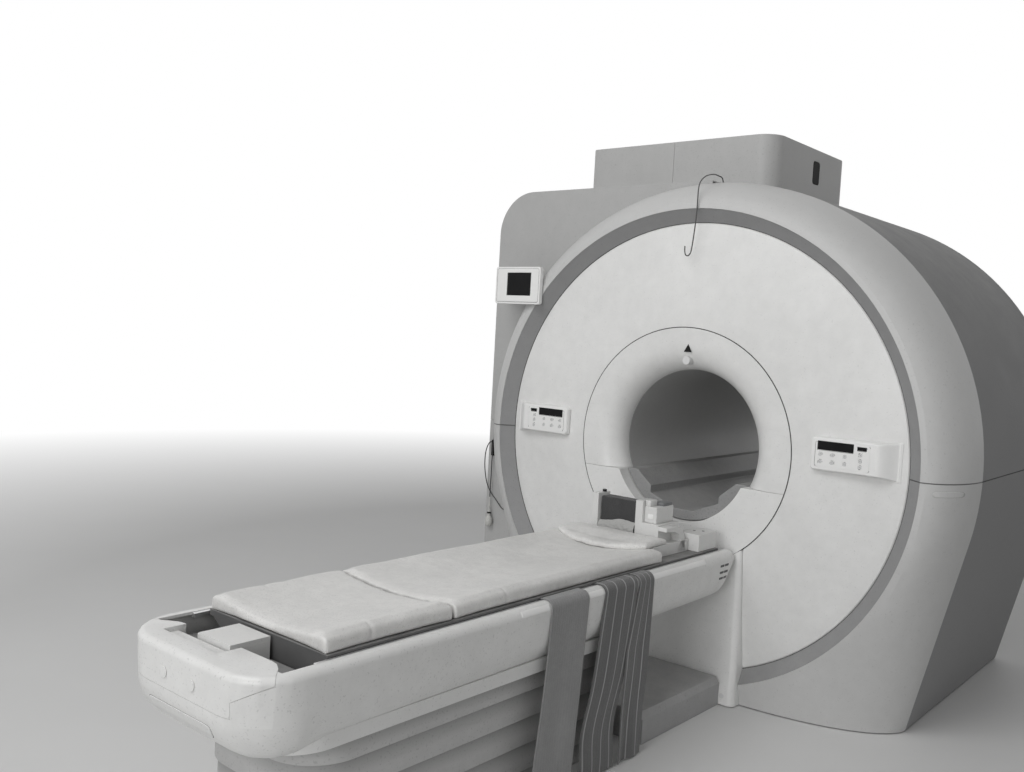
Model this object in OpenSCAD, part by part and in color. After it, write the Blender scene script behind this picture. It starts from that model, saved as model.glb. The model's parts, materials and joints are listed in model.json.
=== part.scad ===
// MRI scanner: a round gantry with a squared shoulder, and a patient couch on a telescopic pedestal.
// Millimetres. The floor is z = 0 and the bore runs along Y. The origin lies on the floor under the
// centre of the magnet, and the couch stands towards -Y.

/* [Bore] */
// Clear diameter of the bore liner
bore_d = 630; // [600:5:660]
// Height of the bore axis above the floor
axis_h = 994; // [970:2:1030]
// Wall of the bore liner
liner_t = 5; // [4:1:8]
// Depth of the rounded mouth at each end of the bore
mouth_depth = 104; // [80:2:120]
// How far the docking ledge lies below the bore axis
ledge_drop = 134; // [125:1:140]

/* [Gantry covers] */
// Diameter of the round body
ring_d = 2216; // [2180:4:2260]
// Diameter of the front disc cover
disc_d = 1840; // [1800:4:1860]
// Diameter of the seam round the bore mouth
mouth_d = 978; // [940:2:1000]
// Radial width of the grey groove band
groove_w = 52; // [40:1:70]
// How far the lip of the groove stands in front of the edge of the disc
lip_proud = 50; // [30:1:60]
// How far the middle of the disc stands in front of its edge
disc_dome = 32; // [15:1:45]
// How far the outer seam of the front ring lies behind the edge of the disc
seam_back = 210; // [180:2:240]
// Slope of the flanks below the round body, from the vertical
flank_angle = 13; // [9:0.5:15]
// Distance from the magnet centre to the edge of the front disc
gantry_front = 710; // [700:5:740]
// Distance from the magnet centre to the rear cover
gantry_back = 760; // [750:5:800]
// How far the horizontal seam lies below the bore axis
seam_drop = 14; // [5:1:30]
// Wall of the moulded covers
cover_t = 6; // [4:0.5:9]
// Gap between two covers
cover_gap = 0.8; // [0.4:0.1:0.9]
// Clearance of the covers above the floor
floor_gap = 4; // [2:1:8]

/* [Shoulder] */
// How far the squared left shoulder reaches past the round body
shoulder_over = 57; // [42:5:112]
// Corner radius of the shoulder
shoulder_corner = 200; // [150:5:240]
// How far the front panel of the shoulder lies behind the edge of the disc
shoulder_set = 100; // [85:1:115]

/* [Top housing] */
// Left end of the housing, from the bore axis
housing_left = 850; // [800:5:900]
// Right end of the housing, from the bore axis
housing_right = 125; // [110:5:200]
// Height of the housing above the shoulder
housing_h = 243; // [235:1:280]
// Distance from the magnet centre to the front of the housing
housing_front = 310; // [280:5:340]
// Distance from the magnet centre to the back of the housing
housing_back = 490; // [470:5:520]
// Corner radius at the right end of the housing
housing_r_right = 90; // [60:5:110]
// Corner radius at the left end of the housing
housing_r_left = 35; // [20:5:60]
// Place of the seam between the two halves, left of the bore axis
housing_split = 380; // [340:5:440]
// Width of the vent slot in the right end
vent_w = 70; // [60:2:90]
// Height of the vent slot
vent_h = 105; // [90:1:120]
// Distance from the magnet centre to the middle of the vent slot
vent_y = 125; // [100:5:200]
// Height of the middle of the vent slot above the middle of the housing
vent_rise = 15; // [0:1:20]
// How far the vent insert stands out of the housing
vent_proud = 1.2; // [0.5:0.1:2]

/* [Magnet] */
// Outer diameter of the vacuum vessel
vessel_d = 1800; // [1740:10:1820]
// Length of the vacuum vessel
vessel_len = 1200; // [1150:10:1210]
// Inner diameter of the vacuum vessel
vessel_bore = 940; // [920:2:960]
// Length of the gradient coil
gradient_len = 1180; // [1000:10:1200]
// Outer diameter of the body coil
body_coil_d = 690; // [680:2:710]
// Length of the body coil
body_coil_len = 1100; // [900:10:1140]
// Radial clearance between nested coils
coil_gap = 0.5; // [0.3:0.1:0.8]
// Distance from the bore axis to the anchor holes
anchor_x = 650; // [640:5:680]
// Distance from the magnet centre to the anchor holes
anchor_y = 430; // [400:5:450]
// Diameter of the anchor holes
anchor_d = 26; // [22:1:30]
// Thickness of the foot plates
foot_plate_t = 20; // [16:1:28]
// Width of the cradle beams
cradle_w = 160; // [140:5:180]
// Height of the cradle beams
cradle_h = 350; // [300:5:380]
// Diameter of the service turret
turret_d = 280; // [240:5:300]
// Diameter of the cold head
cold_head_d = 160; // [140:5:180]
// Distance of the turret from the bore axis
turret_x = 330; // [300:5:345]

/* [Docking column] */
// Half width of the column at its top
column_top_w = 313; // [300:1:320]
// Half width of the column above its foot
column_mid_w = 332; // [325:1:340]
// Half width of the foot of the column
column_foot_w = 346; // [342:1:352]
// How far the top of the column stands in front of the edge of the disc
column_top_proud = 36; // [34:1:40]
// How far the column stands out above its foot
column_mid_proud = 66; // [60:1:72]
// How far the foot of the column stands out
column_foot_proud = 95; // [85:1:100]
// Height of the bulge at the foot of the column
column_foot_h = 130; // [110:5:160]

/* [Controls] */
// Distance from the bore axis to the near end of a control pod
pod_near = 573; // [560:1:590]
// Distance from the bore axis to the far end of a control pod
pod_far = 886; // [870:1:890]
// Height of a control pod
pod_h = 120; // [110:1:126]
// Height of the middle of the pods above the bore axis
pod_rise = 43; // [34:1:54]
// How far the pods stand in front of the edge of the disc
pod_proud = 54; // [50:1:60]
// Width of the display in a pod
pod_screen_w = 184; // [176:1:186]
// Height of the display in a pod
pod_screen_h = 33; // [26:1:36]
// Diameter of a key
key_d = 13; // [10:0.5:15]
// Width of the side display
side_display_w = 268; // [250:1:280]
// Height of the side display
side_display_h = 172; // [160:1:180]
// Thickness of the side display
side_display_t = 22; // [18:1:28]
// Width of the side display's screen
side_screen_w = 137; // [120:1:150]
// Height of the side display's screen
side_screen_h = 106; // [95:1:115]
// Depth of the middle of the side display below the top of the shoulder
side_display_drop = 460; // [450:1:466]
// Distance from the middle of the side display to the outermost part of the round body
side_display_in = 219; // [208:1:223]

/* [Couch pedestal] */
// Gap between the outside of the skirt and each end of the floor plate
plate_inset = 75; // [70:1:90]
// Width of the floor plate
plate_w = 360; // [320:5:370]
// Thickness of the floor plate
plate_t = 12; // [10:1:16]
// Distance from an end of the plate to its anchor holes
plate_anchor_end = 70; // [60:1:90]
// Width between the plate's anchor holes
plate_anchor_w = 280; // [260:5:290]
// Diameter of the plate's anchor holes
plate_anchor_d = 18; // [14:1:22]
// Half width of the largest skirt section
skirt_w = 250; // [245:1:256]
// Height of one skirt section
skirt_h = 165; // [164:0.5:168]
// Wall of a skirt section
skirt_t = 8; // [7:0.2:8.4]
// Clearance between two skirt sections
skirt_gap = 0.9; // [0.6:0.1:0.9]
// Clearance of the lowest moving skirt section above the floor
skirt_hang = 70; // [66:1:74]
// Exposed height of each skirt section as the couch stands at its lowest
skirt_step = 89; // [86:1:90]
// Corner radius of the largest skirt section
skirt_r = 150; // [120:5:170]
// Outer size of the lower lift tube
lift_tube = 170; // [150:5:190]
// Wall of the lift tubes
lift_wall = 10; // [8:1:12]
// Width of the grey base cover
base_cover_w = 570; // [540:5:590]
// Height of the grey base cover
base_cover_h = 112; // [100:1:125]

/* [Couch] */
// Length of the couch beyond the foot end of the tabletop
couch_tail = 240; // [235:1:250]
// Gap between the edge of the disc and the head end of the couch
couch_dock = 50; // [46:1:60]
// Half width of the couch
couch_w = 305; // [300:1:312]
// Height of the top of the couch shell
couch_top = 620; // [610:1:625]
// Height of the underside of the couch shell at its head end
couch_under = 430; // [425:1:440]
// Height of the underside of the couch shell at its foot end
foot_under = 390; // [384:1:400]
// Radius of the corners of the foot end, seen from above
foot_r = 142; // [125:1:150]
// Radius of the top edge of the foot end
foot_edge = 20; // [16:1:30]
// Radius of the rounded belly of the foot end
foot_belly = 122; // [110:1:126]
// Depth of the pocket in the top of the foot cover
pocket_deep = 13; // [8:1:38]
// Height of the underside of the pan below the shell
pan_z = 405; // [400:1:410]
// Half width of the pan
pan_w = 283; // [275:1:288]
// Wall of the couch shell
shell_t = 8; // [6:0.5:10]
// Half width of the opening in the top of the shell
deck_w = 270; // [269:0.5:273]
// Height of the seam across the foot end
foot_seam_z = 515; // [505:1:525]
// Length of the foot cover
foot_cover_len = 106; // [100:1:110]
// Width of the socket box on the foot cover
socket_box_w = 138; // [120:1:150]
// Length of the socket box
socket_box_l = 118; // [110:1:125]
// Thickness of the lid of the socket box
lid_t = 12; // [8:1:16]
// Section of the accessory rails
rail_s = 13; // [11:0.5:14]

/* [Tabletop] */
// Gap between the edge of the disc and the head end of the tabletop
table_dock = 120; // [115:1:130]
// Length of the tabletop
table_len = 1930; // [1880:5:1950]
// Half width of the tabletop
table_w = 254; // [250:0.5:254]
// Height of the top face of the tabletop
table_top = 625; // [620:1:628]
// Depth of the tabletop
table_depth = 80; // [74:1:82]
// Half width of the underside of the tabletop
table_keel = 150; // [140:1:155]
// Thickness of the mattress at its edges
mattress_t = 44; // [38:1:50]
// How far the middle of the mattress is dished
mattress_dish = 20; // [10:1:24]
// Length of the base plate of the coil
coil_len = 386; // [380:1:400]
// Height of the posts of the head coil above its base
coil_post_h = 144; // [130:2:150]
// Length of the main section of the mattress
mattress_len = 1090; // [1050:5:1095]
// Thickness of the head cushion
cushion_t = 20; // [14:1:26]
// Width of a wide strap
strap_wide = 190; // [160:2:200]
// Width of a narrow strap
strap_narrow = 90; // [70:2:100]
// Thickness of a strap
strap_t = 3; // [2:0.5:4]

/* [Hidden] */

white = [0.90, 0.90, 0.89];
pale = [0.84, 0.84, 0.83];
grey = [0.55, 0.55, 0.55];
dark = [0.22, 0.22, 0.23];
black = [0.05, 0.05, 0.05];
steel = [0.68, 0.69, 0.70];
pad_grey = [0.80, 0.79, 0.77];
strap_grey = [0.42, 0.42, 0.42];
copper = [0.72, 0.45, 0.30];

curve_fn = 120;
soft_fn = 32;
eps = 0.01;
fit_gap = 0.3;
rest_gap = 0.3;

front_y = -gantry_front;
back_y = gantry_back;
bore_r = bore_d / 2;
ring_r = ring_d / 2;
disc_r = disc_d / 2;
mouth_r = mouth_d / 2;
lip_r = disc_r + groove_w;
lip_y = front_y - lip_proud;
seam_y = front_y + seam_back;
seam_z = axis_h - seam_drop;
ledge_z = axis_h - ledge_drop;
panel_y = front_y + shoulder_set;
shoulder_reach = ring_r + shoulder_over;
shoulder_top = axis_h + ring_r;
vessel_r = vessel_d / 2;
flare_face_y = front_y - disc_dome - 1.5;
flare_start_r = mouth_r - 60;
reach = 2 * ring_r;

// Turning, slabs and other helpers

// Turns a profile of radius and Y about the bore axis
module lathe() {
    translate([0, 0, axis_h]) rotate([-90, 0, 0]) rotate_extrude($fn = curve_fn) children();
}

// Extrudes a shape drawn in X and Z from y0 to y1
module slab_y(y0, y1) {
    translate([0, y1, 0]) rotate([90, 0, 0]) linear_extrude(height = y1 - y0) children();
}

// A box from its two corners
module box(low, high) {
    translate(low) cube([high[0] - low[0], high[1] - low[1], high[2] - low[2]]);
}

// A block with upright rounded edges, and its own radius at the left and at the right
module round_block(x0, x1, y0, y1, z0, z1, r_left, r_right) {
    h = z1 - z0;
    translate([0, 0, z0]) linear_extrude(height = h) polygon([
        [x0, y0 + r_left], [x0, y1 - r_left], [x0 + r_left, y1], [x1 - r_right, y1],
        [x1, y1 - r_right], [x1, y0 + r_right], [x1 - r_right, y0], [x0 + r_left, y0]
    ]);
    for (y = [y0 + r_left, y1 - r_left]) translate([x0 + r_left, y, z0]) cylinder(r = r_left, h = h, $fn = 64);
    for (y = [y0 + r_right, y1 - r_right]) translate([x1 - r_right, y, z0]) cylinder(r = r_right, h = h, $fn = 64);
}

// Keeps what lies above a height, or below it
module above(z) {
    intersection() {
        children();
        box([-reach, -2 * reach, z], [reach, 2 * reach, 2 * reach]);
    }
}
module below(z) {
    intersection() {
        children();
        box([-reach, -2 * reach, floor_gap], [reach, 2 * reach, z]);
    }
}

// A cylinder about the bore axis
module bore_cylinder(r, y0, y1) {
    translate([0, y0, axis_h]) rotate([-90, 0, 0]) cylinder(r = r, h = y1 - y0, $fn = curve_fn);
}

// The right half of the body: round, with a sloping flank below
module right_body(inset, y0, y1) {
    r = ring_r - inset;
    t = [r * cos(flank_angle), axis_h - r * sin(flank_angle)];
    intersection() {
        union() {
            bore_cylinder(r, y0, y1);
            slab_y(y0, y1) polygon([[0, axis_h], t, [t[0] - t[1] * tan(flank_angle), -1], [0, -1]]);
        }
        box([cover_gap / 2, y0 - 1, 0], [reach, y1 + 1, 2 * reach]);
    }
}

// The left half of the body: squared, with a rounded upper corner
module left_body(inset, y0, y1) {
    x = shoulder_reach - inset;
    top = shoulder_top - inset;
    r = shoulder_corner - inset;
    union() {
        slab_y(y0, y1) polygon([[-cover_gap / 2, 0], [-x, 0], [-x, top - r], [-x + r, top], [-cover_gap / 2, top]]);
        translate([-x + r, y0, top - r]) rotate([-90, 0, 0]) cylinder(r = r, h = y1 - y0, $fn = curve_fn);
    }
}

// Front covers

// How far the disc stands in front of its edge at a radius
function dome_at(r) = disc_dome * (1 - pow((r - mouth_r) / (disc_r - mouth_r), 1.7));

disc_edge = 6;
disc_rim = 30;
disc_steps = 14;
disc_front = [for (i = [0:disc_steps]) let(r = mouth_r + cover_gap + (disc_r - disc_edge - mouth_r) * i / disc_steps)
    [r, front_y - dome_at(r)]];
disc_back = [for (i = [disc_steps:-1:0]) let(p = disc_front[i]) [min(p[0], disc_r - cover_t), p[1] + cover_t]];

module disc_profile() {
    polygon(concat(disc_front, [[disc_r, front_y + disc_edge], [disc_r, front_y + disc_rim],
        [disc_r - cover_t, front_y + disc_rim]], disc_back));
}

// Front view of the docking column, with a clearance round it
module column_view(grow) {
    polygon([
        [-column_foot_w - grow, 0], [-column_foot_w + 3 - grow, column_foot_h * 0.45 + 2],
        [-column_mid_w - grow, column_foot_h + 2],
        [-column_top_w - grow, axis_h - mouth_r * 0.6], [column_top_w + grow, axis_h - mouth_r * 0.6],
        [column_mid_w + grow, column_foot_h + 2],
        [column_foot_w - 3 + grow, column_foot_h * 0.45 + 2], [column_foot_w + grow, 0]
    ]);
}

module column_cut() {
    slab_y(lip_y - 60, seam_y) column_view(cover_gap);
}

module front_disc_cover() {
    color(white) difference() {
        lathe() disc_profile();
        column_cut();
    }
}

// The rounded mouth: flat at the seam, then a quarter ellipse into the bore
mouth_steps = 14;
mouth_curve = [for (i = [0:mouth_steps]) let(a = 90 * i / mouth_steps)
    [flare_start_r - (flare_start_r - bore_r - 1) * sin(a), mouth_depth * (1 - cos(a))]];
mouth_inner = [for (i = [mouth_steps:-1:0]) let(a = 90 * i / mouth_steps)
    [flare_start_r - (flare_start_r - bore_r - 1 - cover_t) * sin(a), cover_t + (mouth_depth - cover_t) * (1 - cos(a))]];

// Profile of the mouth, with its face at y and going towards +Y or -Y
module mouth_profile(face, dir) {
    outer = concat([[mouth_r - cover_gap / 2, 0]], mouth_curve);
    inner = concat(mouth_inner, [[mouth_r - cover_gap / 2, cover_t]]);
    polygon([for (p = concat(outer, inner)) [p[0], face + dir * p[1]]]);
}

module bore_flare() {
    color(white) above(ledge_z + cover_gap / 2) lathe() mouth_profile(flare_face_y, 1);
}

// The flat lower sector of the mouth with the ledge that the raised couch passes over
fascia_depth = 92;
module docking_fascia() {
    lip = bore_r + 3;
    color(white) intersection() {
        union() {
            lathe() {
                translate([lip, flare_face_y]) square([mouth_r - cover_gap / 2 - lip, cover_t]);
                translate([lip, flare_face_y]) square([cover_t, fascia_depth]);
            }
            intersection() {
                lathe() translate([lip, flare_face_y]) square([mouth_r - cover_gap / 2 - lip, fascia_depth]);
                box([-mouth_r, flare_face_y, ledge_z - cover_t], [mouth_r, flare_face_y + fascia_depth, ledge_z]);
            }
        }
        box([-mouth_r, flare_face_y - 1, 0], [mouth_r, flare_face_y + fascia_depth + 1, ledge_z - cover_gap / 2]);
    }
}

// The grey band slopes forward from the edge of the disc to the lip
module groove_band() {
    color(grey) difference() {
        lathe() polygon([
            [disc_r + cover_gap, front_y + 2], [lip_r - cover_gap / 2, lip_y + 3],
            [lip_r - cover_gap / 2, lip_y + 3 + cover_t], [disc_r + cover_gap, front_y + 2 + cover_t]
        ]);
        column_cut();
    }
}
module groove_band_upper() {
    above(seam_z + cover_gap / 2) groove_band();
}
module groove_band_lower() {
    below(seam_z - cover_gap / 2) groove_band();
}

// The front ring: a rolled skin from the lip of the groove to the outer seam, swept round the axis.
// Below the flanks it grows flatter and runs down to the floor.
roll_steps = 10;
skirt_flat = 0.45;
function clamp01(v) = min(1, max(0, v));
function outline_r(a) = a >= -flank_angle && a <= 180 + flank_angle ? ring_r
    : ring_r / cos((a < 0 ? -a : a - 180) - flank_angle);
function flatness(a) = skirt_flat * clamp01(((a < 0 ? -a : a - 180) - flank_angle) / 35);
function roll_point(a, j, t) =
    let (
        v = 90 * j / roll_steps,
        w = outline_r(a) - lip_r,
        k = flatness(a),
        d = seam_y - lip_y,
        dr = w * cos(v),
        dy = d * (k * cos(v) + (1 - k) * sin(v)),
        n = norm([dr, dy]),
        r = max(lip_r, lip_r + w * sin(v) - t * dy / n),
        y = lip_y + d * (k * sin(v) + (1 - k) * (1 - cos(v))) + t * dr / n
    )
    [r * cos(a), y, axis_h + r * sin(a)];

module rolled_skin(a0, a1, count) {
    cols = roll_steps + 1;
    outer = [for (i = [0:count], j = [0:roll_steps]) roll_point(a0 + (a1 - a0) * i / count, j, 0)];
    inner = [for (i = [0:count], j = [0:roll_steps]) roll_point(a0 + (a1 - a0) * i / count, j, cover_t)];
    far = len(outer);
    last = count * cols;
    faces = concat(
        [for (i = [0:count - 1], j = [0:roll_steps - 1]) let(p = i * cols + j) [p, p + cols, p + cols + 1, p + 1]],
        [for (i = [0:count - 1], j = [0:roll_steps - 1]) let(p = far + i * cols + j) [p, p + 1, p + cols + 1, p + cols]],
        [for (i = [0:count - 1]) let(p = i * cols) [p, far + p, far + p + cols, p + cols]],
        [for (i = [0:count - 1]) let(p = i * cols + roll_steps) [p, p + cols, far + p + cols, far + p]],
        [for (j = [0:roll_steps - 1]) [j, j + 1, far + j + 1, far + j]],
        [for (j = [0:roll_steps - 1]) let(p = last + j) [p, far + p, far + p + 1, p + 1]]
    );
    polyhedron(points = concat(outer, inner), faces = faces, convexity = 6);
}

module front_ring_upper() {
    color(white) difference() {
        above(seam_z + cover_gap / 2) rolled_skin(-4, 184, 72);
        box([-reach, panel_y - cover_gap, 0], [cover_gap / 2, seam_y + 50, 2 * reach]);
    }
}
module lower_ring() {
    difference() {
        below(seam_z - cover_gap / 2) rolled_skin(-74, 2, 36);
        column_cut();
    }
}
module front_ring_lower_right() {
    color(white) lower_ring();
}
module front_ring_lower_left() {
    color(white) difference() {
        mirror([1, 0, 0]) lower_ring();
        box([-reach, panel_y - cover_gap, 0], [0, seam_y + 50, 2 * reach]);
    }
}

// Side covers, shoulder and rear

wall_y0 = seam_y + cover_gap;
wall_y1 = back_y - cover_t - cover_gap;

module side_cover() {
    difference() {
        right_body(0, wall_y0, wall_y1);
        translate([-cover_gap, 0, 0]) right_body(cover_t, wall_y0 - 1, wall_y1 + 1);
    }
}
module side_cover_upper() {
    color(pale) above(seam_z + cover_gap / 2) side_cover();
}
module side_cover_lower() {
    color(pale) below(seam_z - cover_gap / 2) side_cover();
}

// The panel stands behind the front ring, whose cut edge meets it
panel_lap = 70;
module shoulder() {
    r = ring_r - panel_lap;
    difference() {
        left_body(0, panel_y, wall_y1);
        translate([cover_gap, 0, 0]) left_body(cover_t, panel_y + cover_t, wall_y1 + 1);
        bore_cylinder(r, panel_y - 1, panel_y + 2 * cover_t);
        slab_y(panel_y - 1, panel_y + 2 * cover_t) polygon([[1, axis_h], [-r * cos(flank_angle), axis_h - r * sin(flank_angle)],
            [-(r - axis_h * tan(flank_angle)), -1], [1, -1]]);
        translate([-turret_x, 0, vessel_r]) cylinder(d = cold_head_d + 20, h = reach, $fn = 64);
    }
}
module shoulder_upper() {
    color(white) above(seam_z + cover_gap / 2) shoulder();
}
module shoulder_lower() {
    color(white) below(seam_z - cover_gap / 2) shoulder();
}

module rear_cover() {
    y0 = back_y - cover_t;
    difference() {
        union() {
            right_body(0, y0, back_y);
            left_body(0, y0, back_y);
            box([-cover_gap, y0, 0], [cover_gap, back_y, shoulder_top - eps]);
        }
        bore_cylinder(mouth_r + cover_gap / 2, y0 - 1, back_y + 1);
    }
}
module rear_cover_upper() {
    color(white) above(seam_z + cover_gap / 2) rear_cover();
}
module rear_cover_lower() {
    color(white) below(seam_z - cover_gap / 2) rear_cover();
}
module rear_flare() {
    color(white) lathe() mouth_profile(back_y, -1);
}

// Top housing over the cold head

housing_z = shoulder_top + housing_h;
housing_t = 5;
module housing_body(inset, top) {
    round_block(-housing_left + inset, housing_right - inset, -housing_front + inset, housing_back - inset,
        axis_h + ring_r / 2, top, housing_r_left - inset, housing_r_right - inset);
}
module vent_bar(x0, x1, grow) {
    w = vent_w / 2 + grow;
    h = vent_h / 2 + grow;
    r = 14 + grow;
    translate([x1, vent_y, shoulder_top + housing_h / 2 + vent_rise]) rotate([0, -90, 0]) union() {
        round_block(-h, h, -w, w, 0, x1 - x0, r, r);
    }
}
module top_housing() {
    difference() {
        union() {
            housing_body(0, housing_z);
        }
        union() {
            housing_body(housing_t, housing_z - housing_t);
        }
        bore_cylinder(ring_r + rest_gap, -gantry_front, gantry_back);
        box([-reach, -gantry_front, 0], [-eps, gantry_back, shoulder_top + rest_gap]);
        vent_bar(housing_right - 2 * housing_t, housing_right + housing_t, rest_gap);
    }
}
module top_housing_left() {
    color(white) intersection() {
        top_housing();
        box([-reach, -reach, 0], [-housing_split - cover_gap / 2, reach, 2 * reach]);
    }
}
module top_housing_right() {
    color(white) intersection() {
        top_housing();
        box([-housing_split + cover_gap / 2, -reach, 0], [reach, reach, 2 * reach]);
    }
}
module housing_vent() {
    color(black) vent_bar(housing_right - housing_t, housing_right + vent_proud, 0);
}

// Bore and magnet

module bore_tube() {
    color(pale) lathe() translate([bore_r, flare_face_y + mouth_depth + cover_gap])
        square([liner_t, back_y - 2 * mouth_depth - 2 * cover_gap - flare_face_y]);
}

// The floor of the bore: a stepped trough that carries the raised tabletop on its ledges
bridge_top = ledge_z + 2;
bridge_y0 = front_y + 28;
bridge_y1 = back_y - mouth_depth;
bridge_half = [[bore_r, bridge_top], [235, bridge_top], [162, bridge_top - 62], [162, bridge_top - 92],
    [150, bridge_top - 98], [100, bridge_top - 117], [50, bridge_top - 141]];
module bore_bridge() {
    left = [for (i = [len(bridge_half) - 1:-1:0]) [-bridge_half[i][0], bridge_half[i][1]]];
    color(pale) slab_y(bridge_y0, bridge_y1) intersection() {
        translate([0, axis_h]) circle(r = bore_r - coil_gap, $fn = curve_fn);
        polygon(concat(bridge_half, left, [[-bore_r, 0], [bore_r, 0]]));
    }
}

module coil_ring(r0, r1, length) {
    lathe() translate([r0, -length / 2]) square([r1 - r0, length]);
}
module body_coil() {
    color(copper) coil_ring(bore_r + liner_t + coil_gap, body_coil_d / 2, body_coil_len);
}
module gradient_coil() {
    color(dark) coil_ring(body_coil_d / 2 + coil_gap, vessel_bore / 2 - coil_gap, gradient_len);
}

vessel_edge = 30;
vessel_wall = 34;
module magnet_vessel() {
    h = vessel_len / 2;
    color(steel) lathe() difference() {
        polygon([
            [vessel_bore / 2, -h], [vessel_r - vessel_edge, -h], [vessel_r, -h + vessel_edge],
            [vessel_r, h - vessel_edge], [vessel_r - vessel_edge, h], [vessel_bore / 2, h]
        ]);
        translate([vessel_bore / 2 + vessel_wall, vessel_wall - h])
            square([vessel_r - vessel_bore / 2 - 2 * vessel_wall, vessel_len - 2 * vessel_wall]);
    }
}

// Two cradle beams with foot plates, which carry the vessel
cradle_half = 560;
module magnet_feet() {
    color(grey) for (y = [-anchor_y, anchor_y]) difference() {
        union() {
            box([-cradle_half, y - cradle_w / 2, 0], [cradle_half, y + cradle_w / 2, cradle_h]);
            box([-anchor_x - 50, y - cradle_w / 2 - 10, 0], [anchor_x + 50, y + cradle_w / 2 + 10, foot_plate_t]);
        }
        bore_cylinder(vessel_r + rest_gap, y - cradle_w, y + cradle_w);
        for (x = [-anchor_x, anchor_x]) translate([x, y, -1])
            cylinder(d = anchor_d, h = foot_plate_t + 2, $fn = 32);
    }
}

turret_top = shoulder_top - cover_t - 40;
module cold_head() {
    color(steel) difference() {
        translate([-turret_x, 0, 0]) union() {
            translate([0, 0, axis_h + vessel_r / 2]) cylinder(d = turret_d, h = turret_top - axis_h - vessel_r / 2, $fn = 64);
            translate([0, 0, turret_top]) cylinder(d = cold_head_d, h = housing_z - turret_top - 60, $fn = 64);
        }
        bore_cylinder(vessel_r + rest_gap, -turret_d, turret_d);
    }
}

// Docking column under the bore

column_back = front_y + 40;
// A slab of the column at one height, with rounded front corners
module column_slab(w, proud, z, t, inset) {
    r = 26;
    translate([0, 0, z]) linear_extrude(height = t) {
        for (s = [-1, 1]) translate([s * (w - r), front_y - proud + r]) circle(r = r - inset, $fn = soft_fn);
        translate([-w + inset, column_back - 1]) square([2 * (w - inset), 1]);
    }
}
module column_form(inset) {
    top = axis_h - mouth_r * 0.6;
    hull() {
        column_slab(column_foot_w, column_foot_proud, floor_gap, 1, inset);
        column_slab(column_foot_w - 3, column_foot_proud, column_foot_h * 0.45, 1, inset);
        column_slab(column_mid_w, column_mid_proud, column_foot_h, 1, inset);
    }
    hull() {
        column_slab(column_mid_w, column_mid_proud, column_foot_h, 1, inset);
        column_slab(column_top_w, column_top_proud, top, 1, inset);
    }
}
module dock_column() {
    color(white) difference() {
        column_form(0);
        translate([0, 0.5, -0.5]) column_form(cover_t);
        bore_cylinder(mouth_r + cover_gap / 2, front_y - 200, front_y + 200);
    }
}

// Control pods, keys and screens

pod_z = axis_h + pod_rise;
pod_plate = pod_screen_w + 38;
module pod_edge(x, proud, h, r) {
    for (z = [-1, 1]) translate([x, front_y - proud + r, pod_z + z * (h / 2 - r)]) sphere(r = r, $fn = 24);
}
module pod_form() {
    hull() {
        pod_edge(pod_near + 14, pod_proud, pod_h, 14);
        pod_edge(pod_near + pod_plate, pod_proud, pod_h, 14);
        pod_edge(pod_far - 12, 20, pod_h - 10, 12);
        box([pod_near, front_y - 6, pod_z - pod_h / 2], [pod_far, front_y, pod_z + pod_h / 2]);
    }
}
// The solid behind the face of the disc
module disc_block() {
    lathe() polygon(concat([for (p = disc_front) [p[0], p[1] - rest_gap]],
        [[disc_r, front_y + disc_edge], [disc_r, front_y + disc_rim], [mouth_r, front_y + disc_rim]]));
}
module pod() {
    difference() {
        pod_form();
        disc_block();
        pod_screen(rest_gap, 4);
        pod_keyset(rest_gap, 4);
    }
}
screen_x = pod_near + 25;
// Screen of a pod, sunk to the stated depth
module pod_screen(grow, depth) {
    box([screen_x - grow, front_y - pod_proud - 3, pod_z + 16 - grow],
        [screen_x + pod_screen_w - 48 + grow, front_y - pod_proud + depth, pod_z + 16 + pod_screen_h + grow]);
    box([screen_x + pod_screen_w - 35 - grow, front_y - pod_proud - 3, pod_z + 28 - grow],
        [screen_x + pod_screen_w + grow, front_y - pod_proud + depth + 2, pod_z + 28 + 14 + grow]);
}
// Keys in two rows and a column of three
module pod_keyset(grow, depth) {
    for (i = [0:2], j = [0:1]) pod_key(screen_x + 13 + 46 * i, pod_z - 28 * j, grow, depth);
    for (j = [0:2]) pod_key(screen_x + pod_screen_w - 22, pod_z + 12 - 22 * j, grow, depth);
}
module pod_key(x, z, grow, depth) {
    translate([x, front_y - pod_proud - 2, z]) rotate([-90, 0, 0])
        cylinder(d = key_d + 2 * grow, h = depth + 2, $fn = 24);
}
module control_pods() {
    color(white) for (m = [0, 1]) mirror([m, 0, 0]) pod();
}
module pod_keys() {
    color(pale) for (m = [0, 1]) mirror([m, 0, 0]) intersection() {
        pod_keyset(0, 4 - rest_gap);
        box([0, front_y - pod_proud - 1.2, 0], [reach, front_y, reach]);
    }
}

side_display_y = front_y - lip_proud - 2;
side_display_x = ring_r - side_display_in;
side_display_z = shoulder_top - side_display_drop;
module side_display() {
    x = -side_display_x;
    z = side_display_z;
    w = side_display_w / 2;
    h = side_display_h / 2;
    neck = side_display_w / 4;
    color(white) difference() {
        union() {
            translate([x, side_display_y, z]) rotate([90, 0, 0]) union() {
                round_block(-w, w, -h, h, 0, side_display_t, 12, 12);
            }
            box([x - w + 10, side_display_y - 1, z - h / 2], [x - w + 10 + neck, panel_y - rest_gap, z + h / 2]);
        }
        side_screen(rest_gap, 3);
    }
}
module side_screen(grow, depth) {
    x = -side_display_x + 8;
    box([x - side_screen_w / 2 - grow, side_display_y - side_display_t - 1, side_display_z - side_screen_h / 2 + 6 - grow],
        [x + side_screen_w / 2 + grow, side_display_y - side_display_t + depth, side_display_z + side_screen_h / 2 + 6 + grow]);
}
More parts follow.
